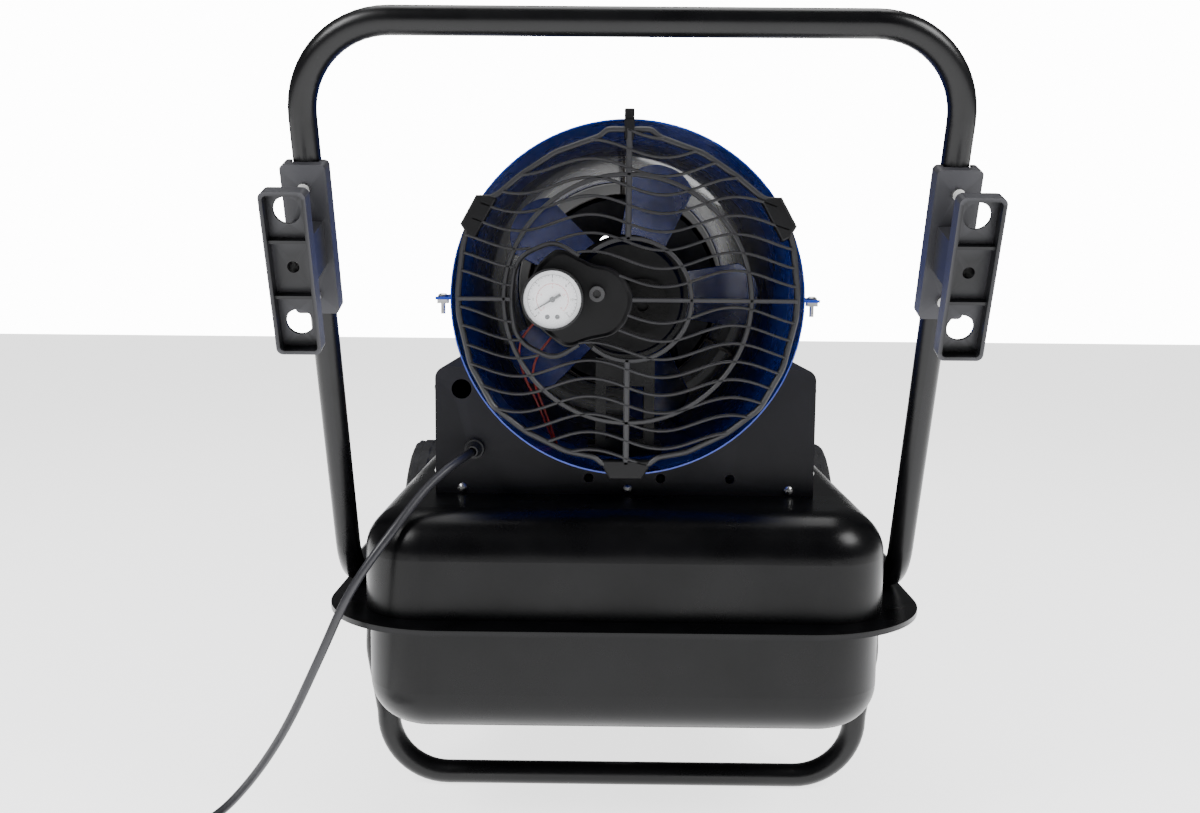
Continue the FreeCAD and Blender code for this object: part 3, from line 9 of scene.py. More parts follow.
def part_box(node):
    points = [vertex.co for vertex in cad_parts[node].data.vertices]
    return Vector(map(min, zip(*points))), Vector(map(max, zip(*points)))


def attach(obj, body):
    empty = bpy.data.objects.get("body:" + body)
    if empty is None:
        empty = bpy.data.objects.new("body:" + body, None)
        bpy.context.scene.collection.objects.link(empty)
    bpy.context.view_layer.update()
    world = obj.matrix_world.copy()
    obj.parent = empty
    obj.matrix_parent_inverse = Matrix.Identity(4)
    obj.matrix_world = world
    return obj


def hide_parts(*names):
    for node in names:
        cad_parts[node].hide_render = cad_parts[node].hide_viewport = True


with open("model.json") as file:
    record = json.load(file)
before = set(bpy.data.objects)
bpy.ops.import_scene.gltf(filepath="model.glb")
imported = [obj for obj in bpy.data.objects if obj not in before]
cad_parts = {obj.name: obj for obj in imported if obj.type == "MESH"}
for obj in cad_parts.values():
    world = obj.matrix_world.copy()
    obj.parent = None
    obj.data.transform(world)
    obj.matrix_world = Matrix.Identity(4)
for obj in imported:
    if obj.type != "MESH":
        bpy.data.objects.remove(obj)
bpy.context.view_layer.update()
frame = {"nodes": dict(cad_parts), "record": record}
nodes = frame["nodes"]
record = frame["record"]
MM = 0.001
link = bpy.context.scene.collection.objects.link

# ---------------------------------------------------------------- camera
CAMERA_AT = (-0.0155, -1.3701, 0.5109)
YAW = -0.0072
PITCH_DOWN = 0.1175
ROLL = 0.0089
camera_data = bpy.data.cameras.new("camera")
camera_data.sensor_width = 36.0
camera_data.lens = 35.73
camera = bpy.data.objects.new("camera", camera_data)
link(camera)
forward = Vector((math.sin(YAW) * math.cos(PITCH_DOWN), math.cos(YAW) * math.cos(PITCH_DOWN),
                  -math.sin(PITCH_DOWN)))
level = Vector((math.cos(YAW), -math.sin(YAW), 0))
upright = level.cross(forward)
right = level * math.cos(ROLL) + upright * math.sin(ROLL)
up = upright * math.cos(ROLL) - level * math.sin(ROLL)
turned = Matrix((right, up, -forward)).transposed()
camera.matrix_world = Matrix.Translation(CAMERA_AT) @ turned.to_4x4()
bpy.context.scene.camera = camera


# ---------------------------------------------------------------- materials
def shader_material(name, color, rough, metallic=0.0, coat=0.0, alpha=1.0, specular=0.5):
    """A Principled material whose even values sit on the shader's own sockets."""
    material = bpy.data.materials.new(name)
    material.use_nodes = True
    shader = material.node_tree.nodes["Principled BSDF"]
    shader.inputs["Base Color"].default_value = (*color, 1)
    shader.inputs["Roughness"].default_value = rough
    shader.inputs["Metallic"].default_value = metallic
    shader.inputs["Coat Weight"].default_value = coat
    shader.inputs["Alpha"].default_value = alpha
    shader.inputs["Specular IOR Level"].default_value = specular
    return material, shader


def noise(tree, scale, detail=4.0, stretch=(1, 1, 1)):
    """Noise that is fixed to the piece's own coordinates."""
    place = tree.nodes.new("ShaderNodeTexCoord")
    mapping = tree.nodes.new("ShaderNodeMapping")
    mapping.inputs["Scale"].default_value = stretch
    tree.links.new(place.outputs["Object"], mapping.inputs["Vector"])
    texture = tree.nodes.new("ShaderNodeTexNoise")
    texture.inputs["Scale"].default_value = scale
    texture.inputs["Detail"].default_value = detail
    tree.links.new(mapping.outputs["Vector"], texture.inputs["Vector"])
    return texture.outputs["Fac"]


def spread(tree, source, low, high):
    """Noise stretched to a range."""
    node = tree.nodes.new("ShaderNodeMapRange")
    node.inputs["From Min"].default_value = 0.3
    node.inputs["From Max"].default_value = 0.7
    node.inputs["To Min"].default_value = low
    node.inputs["To Max"].default_value = high
    tree.links.new(source, node.inputs["Value"])
    return node.outputs["Result"]


def mixed(tree, amount, first, second):
    """A colour between two, by an amount from 0 to 1."""
    node = tree.nodes.new("ShaderNodeMix")
    node.data_type = "RGBA"
    tree.links.new(amount, node.inputs["Factor"])
    node.inputs["A"].default_value = (*first, 1)
    node.inputs["B"].default_value = (*second, 1)
    return node.outputs["Result"]


def bumped(tree, shader, layers):
    """Stacks bump layers: (noise scale, height in metres, stretch)."""
    previous = None
    for scale, height, stretch in layers:
        bump = tree.nodes.new("ShaderNodeBump")
        bump.inputs["Strength"].default_value = 1.0
        bump.inputs["Distance"].default_value = height
        tree.links.new(noise(tree, scale, 3.0, stretch), bump.inputs["Height"])
        if previous:
            tree.links.new(previous, bump.inputs["Normal"])
        previous = bump.outputs["Normal"]
    tree.links.new(previous, shader.inputs["Normal"])


EVEN = (1, 1, 1)
MOTTLE_SCALE = 38
GLOSS_SCALE = 14
RUBBED_FROM, RUBBED_TO = 0.53, 0.62


def finish_of(name, color, rough, metallic=0.0, coat=0.0, vary=0.25, rough_vary=0.06,
              grain=(900, 0.00002), sheet=None, brushed=None, edge=None, specular=0.5):
    """A finished surface: mottled colour, uneven gloss, fine grain, sheet waves and rubbed edges."""
    material, shader = shader_material(name, color, rough, metallic, coat, 1.0, specular)
    tree = material.node_tree
    darker = tuple(c * (1 - vary) for c in color)
    lighter = tuple(min(1, c * (1 + vary) + 0.002 * vary) for c in color)
    base = mixed(tree, spread(tree, noise(tree, MOTTLE_SCALE), 0, 1), darker, lighter)
    if edge:
        geometry = tree.nodes.new("ShaderNodeNewGeometry")
        rubbed = tree.nodes.new("ShaderNodeMapRange")
        rubbed.inputs["From Min"].default_value = RUBBED_FROM
        rubbed.inputs["From Max"].default_value = RUBBED_TO
        tree.links.new(geometry.outputs["Pointiness"], rubbed.inputs["Value"])
        painted = base
        base = mixed(tree, rubbed.outputs["Result"], (0, 0, 0), edge)
        tree.links.new(painted, base.node.inputs["A"])
    tree.links.new(base, shader.inputs["Base Color"])
    gloss = spread(tree, noise(tree, GLOSS_SCALE, 5.0), rough - rough_vary, rough + rough_vary)
    tree.links.new(gloss, shader.inputs["Roughness"])
    layers = [(grain[0], grain[1], EVEN)]
    if sheet:
        layers.insert(0, (sheet[0], sheet[1], EVEN))
    if brushed:
        layers.append((brushed[0], brushed[1], brushed[2]))
    bumped(tree, shader, layers)
    return material


FINISHES = {
    "tank_paint": dict(color=(0.001, 0.001, 0.0014), rough=0.3, specular=0.2, grain=(650, 0.000035),
                       sheet=(7, 0.0009), edge=(0.006, 0.006, 0.007)),
    "tube_paint": dict(color=(0.002, 0.002, 0.0025), rough=0.3, specular=0.3, grain=(800, 0.00002),
                       edge=(0.006, 0.006, 0.007)),
    "cradle_paint": dict(color=(0.002, 0.002, 0.0026), rough=0.4, specular=0.15, grain=(1100, 0.00005),
                         sheet=(9, 0.0004), edge=(0.014, 0.014, 0.017)),
    "shell_blue": dict(color=(0.003, 0.035, 0.36), rough=0.27, coat=0.4, vary=0.04, rough_vary=0.03,
                       grain=(500, 0.00002), sheet=(6, 0.0002)),
    "zinc_steel": dict(color=(0.56, 0.56, 0.55), rough=0.3, metallic=1.0,
                       brushed=(300, 0.00004, (1, 8, 1))),
    "cap_plastic": dict(color=(0.32, 0.012, 0.01), rough=0.34, grain=(900, 0.00003)),
    "gauge_plastic": dict(color=(0.015, 0.015, 0.016), rough=0.4, grain=(900, 0.00003)),
    "black_plastic": dict(color=(0.013, 0.013, 0.014), rough=0.42, grain=(1200, 0.00004),
                          edge=(0.035, 0.035, 0.037)),
    "tyre_rubber": dict(color=(0.009, 0.009, 0.0095), rough=0.75, grain=(420, 0.00012), vary=0.4),
    "rim_plastic": dict(color=(0.014, 0.014, 0.016), rough=0.38, grain=(1000, 0.00003)),
    "switch_plastic": dict(color=(0.45, 0.012, 0.01), rough=0.24, coat=0.3),
    "board_green": dict(color=(0.015, 0.11, 0.04), rough=0.35),
    "can_aluminium": dict(color=(0.7, 0.7, 0.7), rough=0.28, metallic=1.0,
                          brushed=(260, 0.00003, (1, 10, 1))),
    "nose_steel": dict(color=(0.016, 0.016, 0.017), rough=0.5, grain=(700, 0.00006),
                       edge=(0.06, 0.06, 0.06)),
    "guard_plastic": dict(color=(0.009, 0.009, 0.0105), rough=0.42, grain=(1300, 0.00004),
                          edge=(0.02, 0.02, 0.023)),
    "gauge_black": dict(color=(0.01, 0.01, 0.011), rough=0.25, coat=0.4),
    "dial_white": dict(color=(0.82, 0.82, 0.84), rough=0.5, vary=0.02, grain=(1500, 0.00001)),
    "needle_black": dict(color=(0.006, 0.006, 0.006), rough=0.4),
    # painted shade: the pump cover is coloured near-black, in place of its cast aluminium, for the shade at
    # the barrel's centre
    "pump_paint": dict(color=(0.003, 0.003, 0.004), rough=0.4, specular=0.3, grain=(500, 0.0001)),
    "rotor_steel": dict(color=(0.5, 0.5, 0.5), rough=0.3, metallic=1.0),
    "filter_felt": dict(color=(0.008, 0.008, 0.008), rough=0.95, grain=(600, 0.0004), vary=0.3),
    # painted shade: the motor is coloured near-black for the shade deep in the barrel
    "motor_steel": dict(color=(0.003, 0.003, 0.004), rough=0.28, specular=0.3, grain=(600, 0.00004)),
    "fan_aluminium": dict(color=(0.62, 0.62, 0.63), rough=0.24, metallic=1.0,
                          brushed=(200, 0.00005, (1, 6, 1))),
    # painted shade: the burner steel is darkened for the shade deep in the barrel
    "burner_steel": dict(color=(0.04, 0.04, 0.042), rough=0.4, metallic=1.0, vary=0.3),
    "brass_fitting": dict(color=(0.7, 0.47, 0.17), rough=0.28, metallic=1.0),
    "ceramic_white": dict(color=(0.74, 0.72, 0.68), rough=0.2, coat=0.4, vary=0.03),
    # painted shade: the chamber steel is darkened for the shade inside the barrel; its mottle is uneven tone
    "chamber_steel": dict(color=(0.12, 0.11, 0.1), rough=0.45, metallic=1.0, vary=0.45,
                          rough_vary=0.12),
    "hose_rubber": dict(color=(0.012, 0.012, 0.013), rough=0.5),
    "hook_plastic": dict(color=(0.005, 0.0052, 0.0065), rough=0.36, specular=0.3, grain=(1000, 0.00004),
                         edge=(0.04, 0.04, 0.046)),
    "gland_rubber": dict(color=(0.012, 0.012, 0.013), rough=0.55, grain=(800, 0.00004)),
    "cord_rubber": dict(color=(0.016, 0.016, 0.02), rough=0.4, grain=(700, 0.00004)),
    "plug_rubber": dict(color=(0.014, 0.014, 0.016), rough=0.45, grain=(900, 0.00005)),
}
materials = {name: finish_of(name, **values) for name, values in FINISHES.items()}
materials["clear_glass"] = shader_material("clear_glass", (0.9, 0.93, 0.95), 0.06, alpha=0.1)[0]
materials["window_glass"] = shader_material("window_glass", (0.05, 0.008, 0.008), 0.12, coat=0.6)[0]
for name, ripple in (("clear_glass", 60), ("window_glass", 90)):
    tree = materials[name].node_tree
    bumped(tree, tree.nodes["Principled BSDF"], [(ripple, 0.00003, EVEN)])
materials["mark_black"] = finish_of("mark_black", (0.02, 0.02, 0.022), 0.6)
materials["mark_red"] = finish_of("mark_red", (0.6, 0.03, 0.03), 0.6)
materials["lead_red"] = finish_of("lead_red", (0.22, 0.012, 0.008), 0.4)
materials["pod_plastic"] = finish_of("pod_plastic", (0.003, 0.003, 0.0036), 0.42, specular=0.25)

for part in record["subparts"]:
    mesh = nodes[part["node"]].data
    mesh.materials.clear()
    mesh.materials.append(materials[part["material_slot"]])


# ---------------------------------------------------------------- building new pieces
def piece(name, mesh, body, slot, material=None):
    """A finished mesh as a piece that rides on a body."""
    item = bpy.data.objects.new(name, mesh)
    link(item)
    mesh.materials.clear()
    mesh.materials.append(materials[material or slot])
    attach(item, body)
    return item


def mesh_from(build, name):
    """A mesh filled in by a function of a bmesh."""
    work = bmesh.new()
    build(work)
    bmesh.ops.remove_doubles(work, verts=work.verts, dist=1e-6)
    bmesh.ops.recalc_face_normals(work, faces=work.faces)
    mesh = bpy.data.meshes.new(name)
    work.to_mesh(mesh)
    work.free()
    return mesh


def loft(work, rings, closed_path=False):
    """Skins a list of rings of points and caps the ends."""
    made = [[work.verts.new(p) for p in ring] for ring in rings]
    count = len(made[0])
    pairs = list(zip(made, made[1:]))
    if closed_path:
        pairs.append((made[-1], made[0]))
    for a, b in pairs:
        for k in range(count):
            work.faces.new((a[k], a[(k + 1) % count], b[(k + 1) % count], b[k]))
    if not closed_path:
        work.faces.new(made[0][::-1])
        work.faces.new(made[-1])


def smooth_sides(item, angle=35):
    """Smooth shading that keeps sharp corners."""
    for face in item.data.polygons:
        face.use_smooth = True
    item.data.update()
    edges = item.modifiers.new("edges", "EDGE_SPLIT")
    edges.split_angle = math.radians(angle)
    return item


def rounded_bar(width, depth, corner):
    """The section of a moulded bar: (across, depth from the front)."""
    half = width / 2
    return [(-half, corner), (corner - half, 0.0), (half - corner, 0.0), (half, corner), (half, depth),
            (-half, depth)]


def tube_along(name, points, radius, material, roundness, smoothness):
    """A round tube along millimetre points, as a curve object; all its settings come before the ride."""
    curve = bpy.data.curves.new(name, "CURVE")
    curve.dimensions = "3D"
    curve.bevel_depth = radius
    curve.bevel_resolution = roundness
    curve.resolution_u = smoothness
    spline = curve.splines.new("NURBS")
    spline.points.add(len(points) - 1)
    for spot, place in zip(spline.points, points):
        spot.co = (place[0] * MM, place[1] * MM, place[2] * MM, 1)
    spline.order_u = 3
    spline.use_endpoint_u = True
    item = bpy.data.objects.new(name, curve)
    link(item)
    curve.materials.append(materials[material])
    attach(item, "heater")
    return item


# ---------------------------------------------------------------- mains cord
CORD = 7.8 * MM
CORD_ROUTE = [
    (-139.7, -262, 341.1), (-140, -301, 341), (-154, -323, 334), (-172, -343, 319),
    (-186, -360, 302), (-198.5, -374, 285), (-212, -382, 267), (-225, -387, 248), (-240, -389, 222),
    (-254, -388, 190), (-269, -385, 158), (-284, -379, 127), (-300, -372, 98), (-321, -362, 66),
    (-343, -355, 38), (-362, -354, 19), (-383, -360, 7.5), (-401, -372, 4.0),
    (-411, -388, 4.0), (-414.9, -402, 4.0)]
TAIL = [(-349, -472.9, 11.6), (-331, -474.4, 11), (-315, -476.9, 10.2)]
COIL_AT = (-365.0, -422.0)
COIL_OUTER = 49.9
COIL_PITCH = 7.85
LOW_Z, HIGH_Z = 4.0, 11.8
TURN_POINTS = 16
COIL_TURNS = 4.25
FLOOR_TURNS = 2
CLIMB_TURNS = 0.25


def coil_turns():
    """Two turns inward on the floor, a climb over a quarter turn, and two turns outward on top."""
    points = []
    inner = COIL_OUTER - FLOOR_TURNS * COIL_PITCH
    for step in range(int(COIL_TURNS * TURN_POINTS)):
        turn = step / TURN_POINTS
        climb = min(max((turn - FLOOR_TURNS) / CLIMB_TURNS, 0), 1)
        radius = COIL_OUTER - COIL_PITCH * turn if turn < FLOOR_TURNS else inner
        radius += COIL_PITCH * max(turn - FLOOR_TURNS - CLIMB_TURNS, 0)
        angle = math.pi + 2 * math.pi * turn
        points.append((COIL_AT[0] + radius * math.cos(angle), COIL_AT[1] + radius * math.sin(angle),
                       LOW_Z + (HIGH_Z - LOW_Z) * climb))
    return points


lead = tube_along("mains_lead", CORD_ROUTE + coil_turns() + TAIL, CORD / 2, "cord_rubber", 4, 8)
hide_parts("power_cord", "cord_coil")

# ---------------------------------------------------------------- floor, backdrop, lights
floor_mesh = mesh_from(lambda work: bmesh.ops.create_grid(work, x_segments=1, y_segments=1, size=7), "floor")
floor = bpy.data.objects.new("floor", floor_mesh)
link(floor)
floor.location = (0, 0, -0.0005)
floor_paint = finish_of("floor_paint", (0.86, 0.86, 0.87), 0.8, vary=0.01)
floor_shader = floor_paint.node_tree.nodes["Principled BSDF"]
floor_shader.inputs["Emission Color"].default_value = (1, 1, 1, 1)
floor_shader.inputs["Emission Strength"].default_value = 2.2
floor_mesh.materials.append(floor_paint)

world = bpy.data.worlds.new("studio")
bpy.context.scene.world = world
world.use_nodes = True
# the camera sees bright white paper, while the object is lit by a dimmer room
room = world.node_tree.nodes["Background"]
room.inputs["Color"].default_value = (0.93, 0.94, 0.96, 1)
room.inputs["Strength"].default_value = 0.1
paper = world.node_tree.nodes.new("ShaderNodeBackground")
paper.inputs["Color"].default_value = (1, 1, 1, 1)
paper.inputs["Strength"].default_value = 14.0
choice = world.node_tree.nodes.new("ShaderNodeMixShader")
rays = world.node_tree.nodes.new("ShaderNodeLightPath")
world.node_tree.links.new(rays.outputs["Is Camera Ray"], choice.inputs[0])
world.node_tree.links.new(room.outputs[0], choice.inputs[1])
world.node_tree.links.new(paper.outputs[0], choice.inputs[2])
world.node_tree.links.new(choice.outputs[0], world.node_tree.nodes["World Output"].inputs[0])


def softbox(name, at, aim, size, power):
    """A rectangular studio light that faces a point."""
    data = bpy.data.lights.new(name, "AREA")
    data.shape = "RECTANGLE"
    data.size, data.size_y = size
    data.energy = power
    item = bpy.data.objects.new(name, data)
    item.location = at
    item.rotation_mode = "QUATERNION"
    item.rotation_quaternion = (Vector(aim) - Vector(at)).to_track_quat("-Z", "Y")
    link(item)


softbox("key", (-1.5, -1.3, 1.9), (0, 0, 0.35), (0.9, 0.9), 48)
softbox("fill", (1.6, -1.1, 1.8), (0, 0, 0.35), (0.9, 0.9), 42)
softbox("top", (0, 0.3, 2.3), (0, 0.1, 0.3), (1.6, 1.2), 26)

# ---------------------------------------------------------------- intake guard
GUARD_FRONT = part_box("intake_guard")[0].y
BARREL_Z = 482 * MM
LIP_RADIUS = 153.5 * MM
BAR_DEPTH = 7 * MM
ROW_PITCH = 15.6 * MM
ROW_LIFT = 3.0 * MM
WAVE = 7.2 * MM
WAVE_LENGTH = 124 * MM
WAVE_START = -1 * MM
MIDDLE_RING = 106.5 * MM
INNER_RING = 52.5 * MM
INNER_CENTRE_X = 2.5 * MM
INNER_HALF_SPAN = 128
GUARD_REACH = 146 * MM
LAST_ROW = 9
ROW_STEPS = 160
SHORTEST_RUN = 3
HOOP_WIDTH, HOOP_DEPTH = 4.4 * MM, 9 * MM
RING_WIDTH, RING_DEPTH = 3.6 * MM, 8.5 * MM
LOOP_WIDTH, SPINE_WIDTH, STIFF_DEPTH = 4.0 * MM, 5.2 * MM, 8.8 * MM
BEAM_WIDTH, BEAM_DEPTH = 3.6 * MM, 8.6 * MM
SLAT_WIDTH, SLAT_CORNER = 2.3 * MM, 0.7 * MM
STIFF_CORNER = 1.2 * MM


def bar_along(work, line, width, depth=BAR_DEPTH, front=GUARD_FRONT, corner=SLAT_CORNER, closed=False):
    """A moulded bar along points (x, z about the barrel axis)."""
    section = rounded_bar(width, depth, corner)
    rings = []
    last = len(line) - 1
    for k, (x, z) in enumerate(line):
        before = line[k - 1] if (k or closed) else line[0]
        after = line[(k + 1) % len(line)] if (k < last or closed) else line[last]
        along = Vector((after[0] - before[0], after[1] - before[1])).normalized()
        across = Vector((-along.y, along.x))
        rings.append([(x + across.x * a, front + d, BARREL_Z + z + across.y * a) for a, d in section])
    loft(work, rings, closed)


def circle_points(radius, start=0.0, end=360.0, centre=(0.0, 0.0), count=72):
    """Points round an arc; a whole circle leaves out the last point."""
    whole = abs(end - start) >= 360
    total = count if whole else count + 1
    return [(centre[0] + radius * math.cos(math.radians(start + (end - start) * k / count)),
             centre[1] + radius * math.sin(math.radians(start + (end - start) * k / count)))
            for k in range(total)]


def rounded_line(corners, radius, steps=6, closed=True):
    """A line through corners with each corner rounded by a curve."""
    points = []
    count = len(corners)
    for k, corner in enumerate(corners):
        here = Vector(corner)
        if not closed and k in (0, count - 1):
            points.append(tuple(here))
            continue
        back = Vector(corners[k - 1]) - here
        ahead = Vector(corners[(k + 1) % count]) - here
        reach = min(radius, back.length * 0.45, ahead.length * 0.45)
        a = here + back.normalized() * reach
        b = here + ahead.normalized() * reach
        for s in range(steps + 1):
            t = s / steps
            points.append(tuple(a * (1 - t) ** 2 + here * 2 * t * (1 - t) + b * t ** 2))
    return points


# the face ring is a many-sided hoop that steps out to a flat at the top and to three lugs
HOOP_RIGHT = [(19, 144), (25, 138), (63, 124.5), (92, 105.5), (113, 88), (125, 84), (138, 60),
              (141.5, 46), (146, 8), (145.5, -14), (135, -58), (116, -93), (88, -115), (53, -132),
              (27, -137), (20, -143.5)]
hoop = [(x * MM, z * MM) for x, z in HOOP_RIGHT]
hoop += [(-x, z) for x, z in reversed(hoop)]
LUG_ANGLES = (29.0, 151.0, 270.0)
LOOP_CORNERS = [(-42, 37), (-63, 50), (-96, 36), (-101, 0), (-96, -36), (-63, -52), (-42, -39)]
gauge_loop = rounded_line([(x * MM, z * MM) for x, z in LOOP_CORNERS], 26 * MM, closed=False)
POD_OUTLINE = [(-40, 35), (-30, 30), (-14, 27.5), (-3, 20), (4.5, 6), (4.5, -6), (-2, -22), (-12, -31),
               (-36, -36), (-52, -43), (-70, -30), (-86, -14), (-88, 8), (-78, 30), (-60, 45)]
POD_CENTRE_X = -40
POD_INSET = 0.95
LOOP_CENTRE_X, LOOP_HALF_WIDTH, LOOP_HALF_HEIGHT = -66 * MM, 34 * MM, 50 * MM


def inside_loop(x, z):
    """True within the gauge loop or well inside the pod, where no bars run."""
    if ((x - LOOP_CENTRE_X) / LOOP_HALF_WIDTH) ** 2 + (z / LOOP_HALF_HEIGHT) ** 2 < 1:
        return True
    crossings = 0
    edge = [((px - POD_CENTRE_X) * POD_INSET + POD_CENTRE_X, pz * POD_INSET) for px, pz in POD_OUTLINE]
    for (ax, az), (bx, bz) in zip(edge, edge[1:] + edge[:1]):
        if (az > z / MM) != (bz > z / MM) and x / MM < ax + (bx - ax) * (z / MM - az) / (bz - az):
            crossings += 1
    return crossings % 2 == 1


def reach_of_hoop(z, side):
    """How far out the hoop is at a height, on one side."""
    hits = []
    for a, b in zip(hoop, hoop[1:] + hoop[:1]):
        if (a[1] - z) * (b[1] - z) <= 0 and a[1] != b[1]:
            x = a[0] + (b[0] - a[0]) * (z - a[1]) / (b[1] - a[1])
            if x * side > 0:
                hits.append(x)
    return max(hits, key=abs) if hits else None


def wave_height(row, x):
    """How high a row is at a distance across."""
    return ROW_LIFT + row * ROW_PITCH - WAVE * math.sin(2 * math.pi * (x - WAVE_START) / WAVE_LENGTH)


def row_runs(row):
    """The stretches of one wavy row that lie within the hoop and outside the loop and pod."""
    runs = [[]]
    for k in range(ROW_STEPS + 1):
        x = GUARD_REACH * (2 * k / ROW_STEPS - 1)
        z = wave_height(row, x)
        edge = reach_of_hoop(z, 1 if x > 0 else -1)
        if edge is not None and abs(x) <= abs(edge) and not inside_loop(x, z):
            runs[-1].append((x, z))
        else:
            runs.append([])
    return [run for run in runs if len(run) > SHORTEST_RUN]


def build_guard(work):
    """Hoop, rings, gauge loop, spine, beam and wavy rows."""
    bar_along(work, rounded_line(hoop, 5 * MM, 3), HOOP_WIDTH, HOOP_DEPTH, front=GUARD_FRONT + 0.6 * MM,
              corner=STIFF_CORNER, closed=True)
    bar_along(work, circle_points(MIDDLE_RING, count=96), RING_WIDTH, RING_DEPTH, closed=True)
    inner_arc = circle_points(INNER_RING, -INNER_HALF_SPAN, INNER_HALF_SPAN, (INNER_CENTRE_X, 0))
    bar_along(work, inner_arc, RING_WIDTH, RING_DEPTH)
    bar_along(work, gauge_loop, LOOP_WIDTH, STIFF_DEPTH, corner=STIFF_CORNER)
    spine = ((INNER_RING - 1 * MM, 143.5 * MM), (-143 * MM, 1 * MM - INNER_RING))
    for low, high in spine:
        bar_along(work, [(0, low), (0, high)], SPINE_WIDTH, STIFF_DEPTH, corner=STIFF_CORNER)
    for low, high in ((-GUARD_REACH, -100 * MM), (4 * MM, GUARD_REACH)):
        bar_along(work, [(low, 0), (high, 0)], BEAM_WIDTH, BEAM_DEPTH)
    for row in range(-LAST_ROW, LAST_ROW + 1):
        if row:
            for run in row_runs(row):
                bar_along(work, run, SLAT_WIDTH)


guard = smooth_sides(piece("intake_grille", mesh_from(build_guard, "intake_grille"), "heater",
                           "guard_plastic"))
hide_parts("intake_guard")


# scale of the outline and depth in mm, from the back round the rolled rim to the sunk face
POD_PROFILE = [(0.97, 9), (1.0, 8.2), (1.0, 1.0), (0.985, 0.2), (0.965, 0.0), (0.94, 0.8), (0.90, 2.2)]


def build_pod(work):
    """The moulded plate that holds the gauge and the adjusting screw, with a raised rim."""
    outline = rounded_line([(x * MM, z * MM) for x, z in POD_OUTLINE], 9 * MM)
    front = GUARD_FRONT + 0.6 * MM
    rings = []
    for shrink, depth in POD_PROFILE:
        centre = Vector((POD_CENTRE_X * MM, 0))
        ring = []
        for x, z in outline:
            p = centre + (Vector((x, z)) - centre) * shrink
            ring.append((p.x, front + depth * MM, BARREL_Z + p.y))
        rings.append(ring)
    loft(work, rings)


pod = smooth_sides(piece("gauge_pod", mesh_from(build_pod, "gauge_pod"), "heater", "guard_plastic",
                         "pod_plastic"))


LUG_MID = 147
RADIAL_TAPER = 12
SIDE_TAPER = 22
LUG_OUTLINE = [(139.5, 20), (146, 20), (LIP_RADIUS / MM + 3.0, 14), (LIP_RADIUS / MM + 3.0, -14),
               (146, -20), (139.5, -20)]
LUG_PROFILE = [(0.0, 2.2), (0.7, 1.0), (2.2, 0.0), (10.5, 0.0), (14.0, 1.5)]
TAB_HALF = 4.4 * MM
TAB_BEVEL = 0.6 * MM
POST_HALF = 4.2 * MM
POST_BEVEL = 0.8 * MM
POST_FRONT, POST_BACK = 3.5 * MM, 13.5 * MM


def build_lugs(work):
    """Three lugs that clip the guard over the barrel's edge, its top tab and the post behind the lip."""
    for angle in LUG_ANGLES:
        a = math.radians(angle)
        out = Vector((math.cos(a), 0, math.sin(a)))
        side = Vector((-math.sin(a), 0, math.cos(a)))
        centre = Vector((0, 0, BARREL_Z))
        rings = []
        for depth, shrink in LUG_PROFILE:
            ring = []
            for r, s in LUG_OUTLINE:
                drawn_in = (r - LUG_MID) * (1 - shrink / RADIAL_TAPER) + LUG_MID
                ring.append(centre + out * drawn_in * MM + side * s * (1 - shrink / SIDE_TAPER) * MM
                            + Vector((0, GUARD_FRONT + depth * MM, 0)))
            rings.append(ring)
        loft(work, rings)
    foot, top = LIP_RADIUS - 1 * MM, LIP_RADIUS + 8 * MM
    rings = []
    for z, inset in ((foot, 0.0), (top - POST_BEVEL, 0.0), (top, POST_BEVEL)):
        rings.append([(x * (POST_HALF - inset), GUARD_FRONT + y + inward * inset, BARREL_Z + z)
                      for x, y, inward in ((-1, POST_FRONT, 1), (1, POST_FRONT, 1), (1, POST_BACK, -1),
                                           (-1, POST_BACK, -1))])
    loft(work, rings)
    low, high = 136 * MM, LIP_RADIUS - 1.6 * MM
    rings = []
    for y, inset in ((0.4, TAB_BEVEL), (2.0, 0.0), (17.0, 0.0)):
        rings.append([(x * (TAB_HALF - inset), GUARD_FRONT + y * MM, BARREL_Z + z)
                      for x, z in ((-1, low), (1, low), (1, high), (-1, high))])
    loft(work, rings)


piece("guard_lugs", mesh_from(build_lugs, "guard_lugs"), "heater", "guard_plastic", "pod_plastic")

# ---------------------------------------------------------------- dial marks
dial_low, dial_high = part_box("gauge_dial")
DIAL_AT = ((dial_low.x + dial_high.x) / 2, dial_low.y, (dial_low.z + dial_high.z) / 2)
MARK_LIFT = 0.12 * MM
ZERO_ANGLE = 225.0
SWEEP = 270.0


def dial_point(angle, radius):
    """A point on the dial, from an angle and a radius in millimetres."""
    a = math.radians(angle)
    return (DIAL_AT[0] + radius * MM * math.cos(a), DIAL_AT[2] + radius * MM * math.sin(a))


def flat_strip(work, outline):
    """A thin printed shape on the dial."""
    front = [(x, DIAL_AT[1] - MARK_LIFT, z) for x, z in outline]
    back = [(x, DIAL_AT[1] - 0.01 * MM, z) for x, z in outline]
    loft(work, [back, front])


def tick(work, angle, inner, outer, width):
    """A short radial line."""
    a = math.radians(angle)
    side = (-math.sin(a) * width * MM / 2, math.cos(a) * width * MM / 2)
    i, o = dial_point(angle, inner), dial_point(angle, outer)
    flat_strip(work, [(i[0] - side[0], i[1] - side[1]), (o[0] - side[0], o[1] - side[1]),
                      (o[0] + side[0], o[1] + side[1]), (i[0] + side[0], i[1] + side[1])])


def arc_strip(work, radius, width, first, last, steps):
    """A printed arc, in short flat pieces."""
    for k in range(steps):
        a = first + (last - first) * k / steps
        b = first + (last - first) * (k + 1) / steps
        flat_strip(work, [dial_point(a, radius), dial_point(b, radius), dial_point(b, radius + width),
                          dial_point(a, radius + width)])


ARC_STEPS = 48
BLACK_TICKS = 30
RED_TICKS = 20


